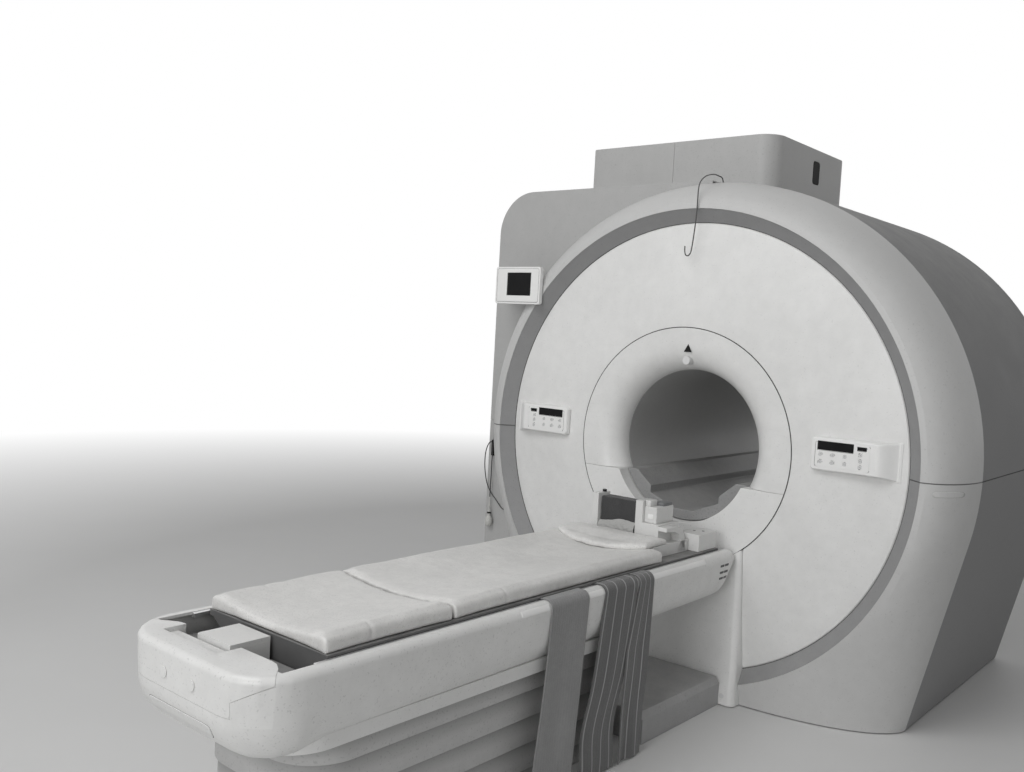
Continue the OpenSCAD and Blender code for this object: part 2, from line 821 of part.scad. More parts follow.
module screens() {
    color(black) {
        for (m = [0, 1]) mirror([m, 0, 0]) intersection() {
            pod_screen(0, 4 - rest_gap);
            box([0, front_y - pod_proud - 0.6, 0], [reach, front_y, reach]);
        }
        intersection() {
            side_screen(0, 3 - rest_gap);
            box([-reach, side_display_y - side_display_t - 0.5, 0], [0, front_y, reach]);
        }
    }
}

// A lens over the bore, a plug in the foot of the column and a pull on the right flank
lens_rise = 40;
module cover_plugs() {
    color(pale) {
        difference() {
            translate([8, flare_face_y - 3, axis_h + mouth_r - 136]) rotate([-90, 0, 0]) cylinder(d = 34, h = lens_rise, $fn = 32);
            lathe() polygon(concat([[mouth_r, -rest_gap + flare_face_y]], [for (p = mouth_curve) [p[0], p[1] + flare_face_y - rest_gap]],
                [[bore_r, flare_face_y + 200], [mouth_r, flare_face_y + 200]]));
        }
        translate([column_foot_w - 48, front_y - column_foot_proud - 2.6, 40]) rotate([-90, 0, 0])
            cylinder(d = 20, h = 2.3, $fn = 32);
    }
}

// Call bulb on its cord, held by a clip on the shoulder panel

cord_d = 5;
cord_route = [
    [-1097, -631, 861.7], [-1092, -630, 835], [-1081, -628, 793], [-1068, -628, 752], [-1056, -628, 703],
    [-1045, -628, 664], [-1035, -628, 626], [-1026, -628, 594], [-1020, -628, 570], [-1027, -628, 551],
    [-1044, -628, 552], [-1064, -628, 569], [-1089, -628, 592], [-1114, -628, 613], [-1137, -628, 640],
    [-1154, -628, 672], [-1166, -628, 716], [-1172, -628, 760], [-1171, -628, 806], [-1163, -629, 838],
    [-1151, -629, 862], [-1138, -628, 873], [-1129, -627, 866], [-1126, -627, 848], [-1125, -628, 805],
    [-1125, -629, 760], [-1124, -630, 700], [-1124, -631, 640], [-1124, -631, 598]
];
clip_x = -1097;
clip_z = 888;
clip_y = cord_route[0][1];
module call_clip() {
    color(black) union() {
        box([clip_x - 33, panel_y - 10, clip_z - 8], [clip_x - 1, panel_y - rest_gap, clip_z + 24]);
        box([clip_x - 44, panel_y - 10, clip_z - 84], [clip_x - 18, panel_y - rest_gap, clip_z - 6]);
        box([clip_x - 9, clip_y - 9, clip_z - 26], [clip_x + 9, panel_y - 14, clip_z]);
        box([clip_x - 9, panel_y - 15, clip_z - 26], [clip_x - 2, panel_y - 8, clip_z]);
    }
}
// A tube of one diameter along a list of points
module tube_along(route, d, sides) {
    n = len(route);
    function dir(i) = let(v = route[min(i + 1, n - 1)] - route[max(i - 1, 0)]) v / norm(v);
    rings = [for (i = [0:n - 1]) let(
        t = dir(i),
        u0 = cross(t, [0.13, 1, 0.07]),
        u = u0 / norm(u0),
        v = cross(t, u))
        for (k = [0:sides - 1]) route[i] + d / 2 * (u * cos(360 * k / sides) + v * sin(360 * k / sides))];
    polyhedron(points = rings, faces = concat(
        [for (i = [0:n - 2], k = [0:sides - 1]) let(p = i * sides, q = (k + 1) % sides)
            [p + k, p + sides + k, p + sides + q, p + q]],
        [[for (k = [0:sides - 1]) k]],
        [[for (k = [sides - 1:-1:0]) (n - 1) * sides + k]]
    ), convexity = 8);
}
// Points between the chosen ones on a smooth curve
function smooth_route(p, steps) = concat([for (i = [0:len(p) - 2], s = [0:steps - 1])
    let(a = p[max(i - 1, 0)], b = p[i], c = p[i + 1], d = p[min(i + 2, len(p) - 1)], t = s / steps)
    0.5 * (2 * b + (c - a) * t + (2 * a - 5 * b + 4 * c - d) * t * t + (3 * b - a - 3 * c + d) * t * t * t)],
    [p[len(p) - 1]]);
module call_cord() {
    color(dark) tube_along(smooth_route(cord_route, 3), cord_d, 8);
}
bulb_top = cord_route[len(cord_route) - 1];
bulb_profile = [[0, 0], [8, 1], [14, 5], [18, 13], [19.5, 23], [18, 34], [13, 44], [8, 52], [7.5, 60], [9, 61],
    [9, 74], [6, 75], [4, 82], [3.5, 146], [0, 146]];
module call_bulb() {
    color(pale) translate([bulb_top[0], bulb_top[1], bulb_top[2] - 146.3])
        rotate_extrude($fn = 48) polygon(bulb_profile);
}

// A bent wire hook hung over the top of the ring
hook_route = [
    [30, front_y + 136, shoulder_top - 5.5], [29, front_y + 127, shoulder_top + 11],
    [27, front_y + 104, shoulder_top + 16], [26, front_y + 70, shoulder_top + 17],
    [26, front_y + 30, shoulder_top + 10], [26, front_y - 10, shoulder_top - 4],
    [26, front_y - 44, shoulder_top - 30], [26, front_y - 56, shoulder_top - 62],
    [26, front_y - 57, shoulder_top - 122], [24, front_y - 57, shoulder_top - 182],
    [18, front_y - 57, shoulder_top - 252], [12, front_y - 57, shoulder_top - 302],
    [9, front_y - 60, shoulder_top - 320], [2, front_y - 64, shoulder_top - 329],
    [-8, front_y - 66, shoulder_top - 326], [-13, front_y - 66, shoulder_top - 312],
    [-14, front_y - 66, shoulder_top - 290]
];
hook_d = 5;
module wire_hook() {
    color(dark) tube_along(smooth_route(hook_route, 2), hook_d, 8);
}

// Couch. Heights in this part are those of the couch as it stands.

table_y1 = front_y - table_dock;
table_y0 = table_y1 - table_len;
couch_y0 = table_y0 - couch_tail;
couch_y1 = front_y - couch_dock;
skirt_y0 = couch_y0 + 190;
skirt_y1 = front_y - 650;
skirt_pitch = skirt_t + skirt_gap;
deck_y0 = couch_y0 + 190;
pedestal_y = (skirt_y0 + skirt_y1) / 2;
plate_len = skirt_y1 - skirt_y0 - 2 * plate_inset;
plate_anchor_l = plate_len - 2 * plate_anchor_end;

module skirt_block(k, inset, z0, z1) {
    d = skirt_pitch * (4 - k) + inset;
    round_block(-skirt_w + d, skirt_w - d, skirt_y0 + d, skirt_y1 - d, z0, z1, skirt_r - d, skirt_r - d);
}
// Section k counts up from the fixed base, and each one hangs over the one below
module skirt(k) {
    z0 = k == 0 ? 0 : skirt_hang + skirt_step * (k - 1);
    z1 = k == 0 ? skirt_h : k == 4 ? beam_z : z0 + skirt_h;
    color(pale) difference() {
        union() {
            skirt_block(k, 0, z0, z1);
        }
        union() {
            skirt_block(k, skirt_t, z0 - 1, z1 + 1);
        }
    }
}
module skirt_base() {
    skirt(0);
}
module skirt_section_1() {
    skirt(1);
}
module skirt_section_2() {
    skirt(2);
}
module skirt_section_3() {
    skirt(3);
}
module skirt_section_4() {
    skirt(4);
}

// Square lift tubes, each sliding in the one below
module square_tube(size, wall, z0, z1) {
    difference() {
        box([-size / 2, pedestal_y - size / 2, z0], [size / 2, pedestal_y + size / 2, z1]);
        box([-size / 2 + wall, pedestal_y - size / 2 + wall, z0 - 1], [size / 2 - wall, pedestal_y + size / 2 - wall, z1 + 1]);
    }
}
lift_step = 2 * lift_wall + 0.6;
beam_z = pan_z + 50;
beam_h = 60;
module plate_outline(x, y, c) {
    polygon([[-x, c - y], [c - x, -y], [x - c, -y], [x, c - y], [x, y - c], [x - c, y], [c - x, y], [-x, y - c]]);
}
module base_plate() {
    color(grey) {
        difference() {
            linear_extrude(height = plate_t) translate([0, pedestal_y]) plate_outline(plate_w / 2, plate_len / 2, 30);
            for (x = [-1, 1], y = [-1, 1]) translate([x * plate_anchor_w / 2, pedestal_y + y * plate_anchor_l / 2, -1])
                cylinder(d = plate_anchor_d, h = plate_t + 2, $fn = 32);
        }
        translate([0, 0, 0]) square_tube(lift_tube, lift_wall, plate_t - 1, 300);
    }
}
module lift_tube_middle() {
    color(steel) square_tube(lift_tube - lift_step, lift_wall, 60, 350);
}
module lift_tube_upper() {
    color(steel) square_tube(lift_tube - 2 * lift_step, lift_wall, 105, beam_z);
}

// The grey cover over the hoses between the pedestal and the gantry
module base_cover() {
    w = base_cover_w / 2;
    y0 = skirt_y1 + 2;
    y1 = front_y - column_foot_proud - rest_gap;
    wall = 5;
    chamfer = 16;
    duct_w = 130;
    duct_h = 40;
    duct_y = skirt_y1 - 4 * skirt_pitch + rest_gap;
    color(dark) difference() {
        union() {
            slab_y(y0, y1) polygon([
                [-w, 0], [-w, base_cover_h - chamfer - 8], [-w + chamfer, base_cover_h],
                [w - chamfer, base_cover_h], [w, base_cover_h - chamfer - 8], [w, 0]
            ]);
            box([-duct_w, duct_y, 0], [duct_w, y0 + wall, duct_h]);
        }
        box([-w + wall, y0 + wall, -1], [w - wall, y1 - wall, base_cover_h - chamfer - 12]);
        box([-duct_w + wall, duct_y - 1, -1], [duct_w - wall, y0 + 2 * wall, duct_h - wall]);
    }
}

// Outer form of the couch: a long body with rounded ends
module couch_ball(x, y, z, r) {
    for (s = [-1, 1]) translate([s * (x - r), y, z]) sphere(r = r, $fn = soft_fn);
}
module couch_form(inset) {
    hull() {
        couch_ball(couch_w - inset, couch_y1 - 40, couch_top - 36, 36 - inset);
        couch_ball(couch_w - inset, couch_y0 + 300, couch_top - 36, 36 - inset);
        couch_corner(foot_r, couch_top - foot_edge, foot_edge, inset, 15);
        intersection() {
            union() {
                couch_ball(couch_w - inset - 4, couch_y1 - 100, couch_under + 100, 100 - inset);
                couch_ball(couch_w - inset - 4, couch_y0 + 700, couch_under + 100, 100 - inset);
                couch_corner(foot_r + 10, foot_under + foot_belly, foot_belly, inset, 30);
            }
            box([-couch_w, couch_y0, foot_under - 5], [couch_w, couch_y1, couch_under + 100]);
        }
    }
}
// Row of balls round the two corners of the foot end
module couch_corner(plan_r, z, r, inset, step) {
    for (a = [0 : step : 90])
        couch_ball(couch_w - inset - (plan_r - r) * (1 - sin(a)), couch_y0 + plan_r - (plan_r - r) * cos(a), z, r - inset);
}
// Space that the foot cover fills above its seam: the end of the couch, rising at the corners
function lobe_plan(s) = [
    [s * 190, couch_y0 + foot_cover_len + 22], [s * 212, couch_y0 + foot_cover_len + 18],
    [s * 240, couch_y0 + foot_cover_len + 2], [s * 266, couch_y0 + foot_cover_len - 22],
    [s * 288, couch_y0 + foot_cover_len - 42], [s * 330, couch_y0 + foot_cover_len - 54], [s * 330, couch_y0 - 50]
];
module foot_zone(grow) {
    intersection() {
        translate([0, 0, foot_seam_z - 20]) linear_extrude(height = 200) offset(delta = grow)
            polygon(concat(lobe_plan(1), [for (i = [6 : -1 : 0]) lobe_plan(-1)[i]]));
        translate([0, couch_y0 + 200, 0]) rotate([90, 0, 0]) linear_extrude(height = 300) offset(delta = grow)
            polygon([
                [-200, foot_seam_z], [200, foot_seam_z], [200, foot_seam_z + 38], [295, couch_top - 14],
                [330, couch_top - 14], [330, couch_top + 60], [-330, couch_top + 60], [-330, couch_top - 14],
                [-295, couch_top - 14], [-200, foot_seam_z + 38]
            ]);
    }
}
tray_z = 552;
tray_t = 8;
tray_w = 268;
module couch_shell() {
    color(white) difference() {
        couch_form(0);
        couch_form(shell_t);
        box([-deck_w, couch_y0 + foot_cover_len - 10, couch_top - 40], [deck_w, couch_y1 - 20, couch_top + 20]);
        box([-deck_w + 8, couch_y1 - 120, table_top - table_depth - 8], [deck_w - 8, couch_y1 + 20, couch_top + 20]);
        box([-skirt_w - 3, skirt_y0 - 20, foot_under - 60], [skirt_w + 3, skirt_y1 + 30, couch_under + 60]);
        foot_zone(cover_gap);
    }
}

// Steel frame in the couch: two beams with cross members, and the tray at the foot end
module couch_frame() {
    rail_top = table_top - table_depth - fit_gap;
    color(grey) {
        for (s = [-1, 1]) box([s * 130 - 25, table_y0 + 20, beam_z], [s * 130 + 25, couch_y1 - 130, rail_top]);
        for (y = [pedestal_y - 420, pedestal_y - 130, pedestal_y + 130, pedestal_y + 600, couch_y1 - 200])
            box([-150, y - 30, beam_z], [150, y + 30, beam_z + beam_h]);
        box([-skirt_w + 2, skirt_y0 + 60, beam_z], [skirt_w - 2, skirt_y1 - 60, beam_z + 6]);
        box([-150, couch_y0 + 90, beam_z], [150, table_y0 + 120, beam_z + 12]);
        for (s = [-1, 1]) box([s * 130 - 20, couch_y0 + 100, beam_z], [s * 130 + 20, table_y0 - 20, tray_z + 1]);
        box([-tray_w, couch_y0 + 76, tray_z], [tray_w, table_y0 - 4, tray_z + tray_t]);
    }
}
// The strip under the shell, between it and the skirts
module couch_pan() {
    color(pale) difference() {
        union() {
            rotate([0, 0, 90]) round_block(skirt_y0 - 100, skirt_y1 + 32, -pan_w, pan_w, pan_z, beam_z - 10, 150, 60);
        }
        union() {
            round_block(-skirt_w - rest_gap, skirt_w + rest_gap, skirt_y0 - rest_gap, skirt_y1 + rest_gap,
                pan_z - 1, beam_z, skirt_r, skirt_r);
        }
        couch_form(-fit_gap);
    }
}

// Foot cover: a rounded end cap with a hollow for the tray and a shallow pocket in its top
module foot_cover() {
    color(white) difference() {
        intersection() {
            couch_form(0);
            foot_zone(0);
        }
        intersection() {
            couch_form(cover_t);
            box([-couch_w, couch_y0, 0], [couch_w, couch_y0 + foot_cover_len + 60, tray_z + tray_t + 20]);
        }
        box([-tray_w - 1, couch_y0 + 70, 0], [tray_w + 1, couch_y0 + foot_cover_len + 60, tray_z + tray_t + rest_gap]);
        box([-186, couch_y0 + 62, couch_top - pocket_deep], [62, couch_y0 + foot_cover_len + 60, couch_top + 20]);
        box([-186, couch_y0 + foot_cover_len, 0], [62, couch_y0 + foot_cover_len + 60, couch_top + 20]);
        for (x = cap_x) translate([x, couch_y0 - 10, cap_z]) rotate([-90, 0, 0]) cylinder(d = cap_d - 8, h = 60, $fn = 32);
    }
}
cap_x = [-71, 52];
cap_z = 554;
cap_d = 30;
module foot_caps() {
    color(white) for (x = cap_x) union() {
        translate([x, couch_y0 - 2.5, cap_z]) rotate([-90, 0, 0]) cylinder(d = cap_d, h = 2.3, $fn = 32);
        translate([x, couch_y0 - 1, cap_z]) rotate([-90, 0, 0]) cylinder(d = cap_d - 8 - 2 * rest_gap, h = 20, $fn = 32);
    }
}

// Socket box on the tray, with a lid hinged at its left side
box_x0 = -99;
box_y0 = couch_y0 + 112;
box_z0 = tray_z + tray_t + rest_gap;
box_top = couch_top + 2;
hinge_d = 7;
hinge_x = box_x0 - hinge_d / 2;
hinge_z = box_top - lid_t / 2;
knuckle = 30;
module hinge_rod(y, length, d) {
    translate([hinge_x, y, hinge_z]) rotate([-90, 0, 0]) cylinder(d = d, h = length, $fn = 24);
}
module socket_box() {
    x1 = box_x0 + socket_box_w;
    y1 = box_y0 + socket_box_l;
    color(white) difference() {
        union() {
            box([box_x0, box_y0, box_z0], [x1, y1, box_top - lid_t]);
            for (y = [box_y0, y1 - knuckle]) {
                box([box_x0 - hinge_d, y, hinge_z - 22], [box_x0 + 1, y + knuckle, box_top - lid_t]);
                box([box_x0 - hinge_d, y, hinge_z - 22], [hinge_x, y + knuckle, hinge_z]);
                hinge_rod(y, knuckle, hinge_d);
            }
        }
        box([box_x0 + 6, box_y0 + 6, box_z0 + 6], [x1 - 6, y1 - 6, box_top]);
    }
}
module socket_lid() {
    x1 = box_x0 + socket_box_w;
    y1 = box_y0 + socket_box_l;
    color(white) difference() {
        union() {
            box([box_x0 + 0.3, box_y0, box_top - lid_t + rest_gap], [x1, y1, box_top]);
            hinge_rod(box_y0 + knuckle + 0.5, socket_box_l - 2 * knuckle - 1, hinge_d);
            box([hinge_x, box_y0 + knuckle + 0.5, hinge_z], [box_x0 + 1, y1 - knuckle - 0.5, hinge_z + hinge_d / 2]);
        }
        hinge_rod(box_y0 - 1, knuckle + 1.5, hinge_d + 1);
        hinge_rod(y1 - knuckle - 0.5, knuckle + 1.5, hinge_d + 1);
    }
}

module side_rails() {
    color(steel) for (s = [-1, 1]) translate([s * (deck_w - 0.6 - rail_s / 2), 0, 0])
        box([-rail_s / 2, table_y0 - 44, couch_top - 2 - rail_s], [rail_s / 2, couch_y1 - 24, couch_top - 2]);
}

// Straps that lie over the right edge of the couch and hang to the floor
strap_path = [for (p = [[-47, 0.4], [-24, 0.2], [-16.3, -1], [-7.3, -7.2], [-1.2, -16.2], [0.9, -27], [1.6, -60],
    [2, -140], [2.5, -300], [4, -460], [6, -570]]) [couch_w + p[0], couch_top + p[1]]];
strap_run = concat(strap_path, [[couch_w + 6.5, 6]]);
strap_spots = [0.5777, 0.4326, 0.3290] * table_len;
function strap_side(i) = let(v = strap_run[min(i + 1, len(strap_run) - 1)] - strap_run[max(i - 1, 0)])
    strap_t * [-v[1], v[0]] / norm(v);
module strap(y0, width, lean) {
    n = len(strap_run);
    pts = [for (i = [0:n - 1]) let(
        p = strap_run[i],
        q = p + strap_side(i),
        s = lean * clamp01((couch_top - p[1]) / couch_top))
        each [[p[0], y0 + s, p[1]], [q[0], y0 + s, q[1]], [q[0], y0 + width + s, q[1]], [p[0], y0 + width + s, p[1]]]];
    polyhedron(points = pts, faces = concat(
        [for (i = [0:n - 2], k = [0:3]) let(p = 4 * i, q = (k + 1) % 4) [p + k, p + q, p + 4 + q, p + 4 + k]],
        [[3, 2, 1, 0], [4 * n - 4, 4 * n - 3, 4 * n - 2, 4 * n - 1]]
    ), convexity = 6);
}
module straps() {
    color(strap_grey) {
        strap(table_y1 - strap_spots[0], strap_wide, -strap_wide * 0.38);
        strap(table_y1 - strap_spots[1], strap_wide, -strap_wide * 0.58);
        strap(table_y1 - strap_spots[2], strap_narrow, -strap_narrow * 0.556);
    }
}

// Tabletop and what lies on it

module tabletop() {
    b = table_top - table_depth;
    color(dark) slab_y(table_y0, table_y1) polygon([
        [-table_w, table_top], [-table_w, table_top - 18], [-table_w + 20, table_top - 20], [-table_keel, b],
        [table_keel, b], [table_w - 20, table_top - 20], [table_w, table_top - 18], [table_w, table_top]
    ]);
}

// Section of the mattress: rolled edges and a dished middle
mattress_z = table_top + rest_gap;
dish_steps = 12;
module mattress_section() {
    w = table_w - 1;
    r = 14;
    dish = [for (i = [0:dish_steps]) let(x = (w - 34) * (1 - 2 * i / dish_steps))
        [x, mattress_z + mattress_t - mattress_dish * (1 - pow(x / (w - 34), 2))]];
    polygon(concat([[-w, mattress_z], [w, mattress_z], [w, mattress_z + mattress_t - r], [w - 4, mattress_z + mattress_t - 4],
        [w - r, mattress_z + mattress_t]], dish, [[-w + r, mattress_z + mattress_t], [-w + 4, mattress_z + mattress_t - 4],
        [-w, mattress_z + mattress_t - r]]));
}
coil_y1 = table_y1 - 5;
coil_y0 = coil_y1 - coil_len;
mattress_end = coil_y0 - 2;
mattress_split = mattress_end - mattress_len;
module mattress_foot() {
    color(pad_grey) slab_y(table_y0 - 6, mattress_split - rest_gap) mattress_section();
}
module mattress_main() {
    color(pad_grey) slab_y(mattress_split, mattress_end) mattress_section();
}

// Head cushion on the coil base, with a rounded front over the mattress
base_z0 = table_top + rest_gap;
base_top = mattress_z + mattress_t;
cushion_z = base_top + rest_gap;
module head_cushion() {
    color(pad_grey) translate([0, 0, cushion_z]) linear_extrude(height = cushion_t) intersection() {
        translate([0, coil_y0 + 240]) circle(r = 360, $fn = 96);
        translate([-210, coil_y0 - 120]) square([420, 210]);
    }
}
// The lower half of a head coil: a base plate, a post at the left and a bracket at the right
post_x = 128;
module coil_base() {
    color(white) {
        difference() {
            union() {
                box([-200, coil_y0, base_z0], [200, coil_y1, base_top]);
                box([-post_x - 22, coil_y0 + 96, base_top - 1], [-post_x + 6, coil_y0 + 176, base_top + coil_post_h]);
                box([post_x - 76, coil_y0 + 96, base_top - 1], [post_x - 44, coil_y0 + 170, base_top + coil_post_h]);
                box([post_x - 46, coil_y0 + 96, base_top - 1], [post_x + 30, coil_y0 + 240, base_top + 62]);
            }
            translate([0, coil_y0 - 1, base_z0 + 40]) box([-post_x + 30, 0, 0], [post_x - 80, 90, 60]);
        }
    }
}
module coil_pad() {
    color(dark) box([-post_x + 6 + rest_gap, coil_y0 + 110, cushion_z], [post_x - 76 - rest_gap, coil_y0 + 176, base_top + coil_post_h - 8]);
}
module coil_connector() {
    color(pale) {
        box([post_x - 44 + rest_gap, coil_y0 + 110, base_top + 62 + rest_gap], [post_x + 10, coil_y0 + 230, base_top + coil_post_h - 20]);
        union() {
            box([150, coil_y1 - 136, base_top + rest_gap], [246, coil_y1, base_top + 22]);
            box([200 + rest_gap, coil_y1 - 136, base_z0], [246, coil_y1, base_top + 22]);
        }
    }
}

front_disc_cover();
bore_flare();
docking_fascia();
groove_band_upper();
groove_band_lower();
front_ring_upper();
front_ring_lower_right();
front_ring_lower_left();
side_cover_upper();
side_cover_lower();
shoulder_upper();
shoulder_lower();
rear_cover_upper();
rear_cover_lower();
rear_flare();
top_housing_left();
top_housing_right();
housing_vent();
bore_tube();
bore_bridge();
body_coil();
gradient_coil();
magnet_vessel();
magnet_feet();
cold_head();
dock_column();
control_pods();
pod_keys();
side_display();
screens();
cover_plugs();
call_clip();
call_cord();
call_bulb();
wire_hook();
base_cover();
base_plate();
skirt_base();
skirt_section_1();
skirt_section_2();
skirt_section_3();
skirt_section_4();
lift_tube_middle();
lift_tube_upper();
couch_frame();
couch_pan();
couch_shell();
foot_cover();
foot_caps();
socket_box();
socket_lid();
side_rails();
straps();
tabletop();
mattress_foot();
mattress_main();
head_cushion();
coil_base();
coil_pad();
coil_connector();
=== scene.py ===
"""Dressed model of an MRI scanner: round gantry, docking column, couch, table and the small parts on them.

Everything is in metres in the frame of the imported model. +Z is up, the bore runs along Y, and the couch
stands towards -Y.
"""
from __future__ import annotations

import json
import logging
import math
from dataclasses import dataclass, field, replace
from enum import Enum
from typing import Callable, Iterable, Sequence

import bmesh
import bpy
from mathutils import Matrix, Vector, noise
from mathutils.bvhtree import BVHTree

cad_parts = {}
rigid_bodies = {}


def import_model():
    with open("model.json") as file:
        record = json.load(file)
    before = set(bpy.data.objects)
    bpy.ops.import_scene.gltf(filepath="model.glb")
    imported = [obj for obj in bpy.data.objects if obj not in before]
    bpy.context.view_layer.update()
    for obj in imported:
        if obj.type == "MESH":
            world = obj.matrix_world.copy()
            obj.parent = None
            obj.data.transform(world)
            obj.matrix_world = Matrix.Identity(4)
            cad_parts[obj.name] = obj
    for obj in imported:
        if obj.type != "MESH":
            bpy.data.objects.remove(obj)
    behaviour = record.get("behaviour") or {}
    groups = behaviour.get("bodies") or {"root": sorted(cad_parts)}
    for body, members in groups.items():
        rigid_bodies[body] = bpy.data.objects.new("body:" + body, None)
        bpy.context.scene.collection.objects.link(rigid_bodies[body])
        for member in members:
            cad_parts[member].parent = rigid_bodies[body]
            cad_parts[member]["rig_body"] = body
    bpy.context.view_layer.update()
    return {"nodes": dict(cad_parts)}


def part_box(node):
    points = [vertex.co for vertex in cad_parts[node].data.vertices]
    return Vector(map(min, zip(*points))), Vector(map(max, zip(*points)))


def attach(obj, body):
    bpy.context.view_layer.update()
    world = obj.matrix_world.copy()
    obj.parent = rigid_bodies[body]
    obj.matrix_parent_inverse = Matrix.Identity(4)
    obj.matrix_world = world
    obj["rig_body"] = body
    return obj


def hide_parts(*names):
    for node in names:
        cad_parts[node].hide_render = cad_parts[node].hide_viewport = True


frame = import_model()

log = logging.getLogger("scanner")
Colour = tuple[float, float, float]
Point = tuple[float, float, float]
MM = 0.001
AXIS_Z = 0.994
FRONT_Y = -0.710
ACROSS: Point = (1.0, 0.0, 0.0)
ALONG: Point = (0.0, 1.0, 0.0)
UPWARD: Point = (0.0, 0.0, 1.0)


def clamp(value: float) -> float:
    """Keeps a value between 0 and 1."""
    return max(0.0, min(1.0, value))


def placed(name: str, data: bpy.types.ID) -> bpy.types.Object:
    """Puts a mesh, curve, lamp or camera in the scene as an object.

    Args:
        name: Name of the object.
        data: What it shows.

    Returns:
        The object.
    """
    made = bpy.data.objects.new(name, data)
    bpy.context.scene.collection.objects.link(made)
    return made


# Finishes


class Weave(Enum):
    """How a strap is woven."""

    PLAIN = "plain"
    STRIPED = "striped"


class Grain(Enum):
    """The direction in which a metal was drawn or ground."""

    ALONG_Y = 1
    ALONG_Z = 2


class Wiring:
    """Adds nodes to one shader tree and joins them."""

    def __init__(self, tree: bpy.types.NodeTree) -> None:
        """Keeps the tree that the nodes go into."""
        self.tree = tree

    @classmethod
    def fresh(cls, owner: bpy.types.ID) -> Wiring:
        """Empties the tree of a material or world, to start it anew.

        Args:
            owner: The material or world.

        Returns:
            What adds nodes to its empty tree.
        """
        owner.use_nodes = True
        owner.node_tree.nodes.clear()
        return cls(owner.node_tree)

    def node(self, kind: str, **settings: object) -> bpy.types.Node:
        """Adds a node.

        Args:
            kind: Blender's name of the node type.
            settings: Properties of the node to set.

        Returns:
            The new node.
        """
        new = self.tree.nodes.new(kind)
        for name, value in settings.items():
            setattr(new, name, value)
        return new

    def join(self, source: bpy.types.NodeSocket, target: bpy.types.NodeSocket) -> None:
        """Links an output to an input."""
        self.tree.links.new(source, target)

    def feed(self, target: bpy.types.NodeSocket, value: object) -> None:
        """Links a socket to an input, or sets the input to a plain value.

        Args:
            target: The input.
            value: A socket, a plain value, or None to leave the input as it is.
        """
        if isinstance(value, bpy.types.NodeSocket):
            self.join(value, target)
        elif value is not None:
            target.default_value = value

    def place(self) -> bpy.types.NodeSocket:
        """Gives the object coordinates."""
        return self.node("ShaderNodeTexCoord").outputs["Object"]

    def part(self, vector: bpy.types.NodeSocket, axis: str) -> bpy.types.NodeSocket:
        """Gives one coordinate of a vector.

        Args:
            vector: The vector.
            axis: X, Y or Z.

        Returns:
            The coordinate.
        """
        split = self.node("ShaderNodeSeparateXYZ")
        self.join(vector, split.inputs[0])
        return split.outputs[axis]

    def noise(self, vector: object, scale: object, detail: float = 3.0, rough: float = 0.55) -> bpy.types.NodeSocket:
        """Adds a noise pattern.

        Args:
            vector: Where the pattern is read.
            scale: Its scale, as a number or a socket.
            detail: Number of octaves.
            rough: Share that each octave keeps.

        Returns:
            The noise value.
        """
        new = self.node("ShaderNodeTexNoise")
        self.feed(new.inputs["Vector"], vector)
        self.feed(new.inputs["Scale"], scale)
        new.inputs["Detail"].default_value = detail
        new.inputs["Roughness"].default_value = rough
        return new.outputs[0]

    def spread(
        self, value: object, low: object, high: object, to_low: object = 0.0, to_high: object = 1.0,
    ) -> bpy.types.NodeSocket:
        """Maps one range of values onto another, and clamps it.

        Args:
            value: What is mapped.
            low: Start of its range.
            high: End of its range.
            to_low: What the start becomes.
            to_high: What the end becomes.

        Returns:
            The mapped value.
        """
        new = self.node("ShaderNodeMapRange")
        ranges = {"Value": value, "From Min": low, "From Max": high, "To Min": to_low, "To Max": to_high}
        for name, given in ranges.items():
            self.feed(new.inputs[name], given)
        return new.outputs["Result"]

    def math(self, operation: str, first: object, second: object = None) -> bpy.types.NodeSocket:
        """Adds a sum of one or two values.

        Args:
            operation: Blender's name of the operation.
            first: First value or socket.
            second: Second value or socket, where there is one.

        Returns:
            The result.
        """
        new = self.node("ShaderNodeMath", operation=operation)
        self.feed(new.inputs[0], first)
        self.feed(new.inputs[1], second)
        return new.outputs[0]

    def blend(self, share: object, first: object, second: object) -> bpy.types.NodeSocket:
        """Mixes two colours by a share.

        Args:
            share: Share of the second colour.
            first: First colour or socket.
            second: Second colour or socket.

        Returns:
            The mixed colour.
        """
        new = self.node("ShaderNodeMix", data_type="RGBA")
        self.feed(new.inputs["Factor"], share)
        self.feed(new.inputs["A"], first)
        self.feed(new.inputs["B"], second)
        return new.outputs["Result"]


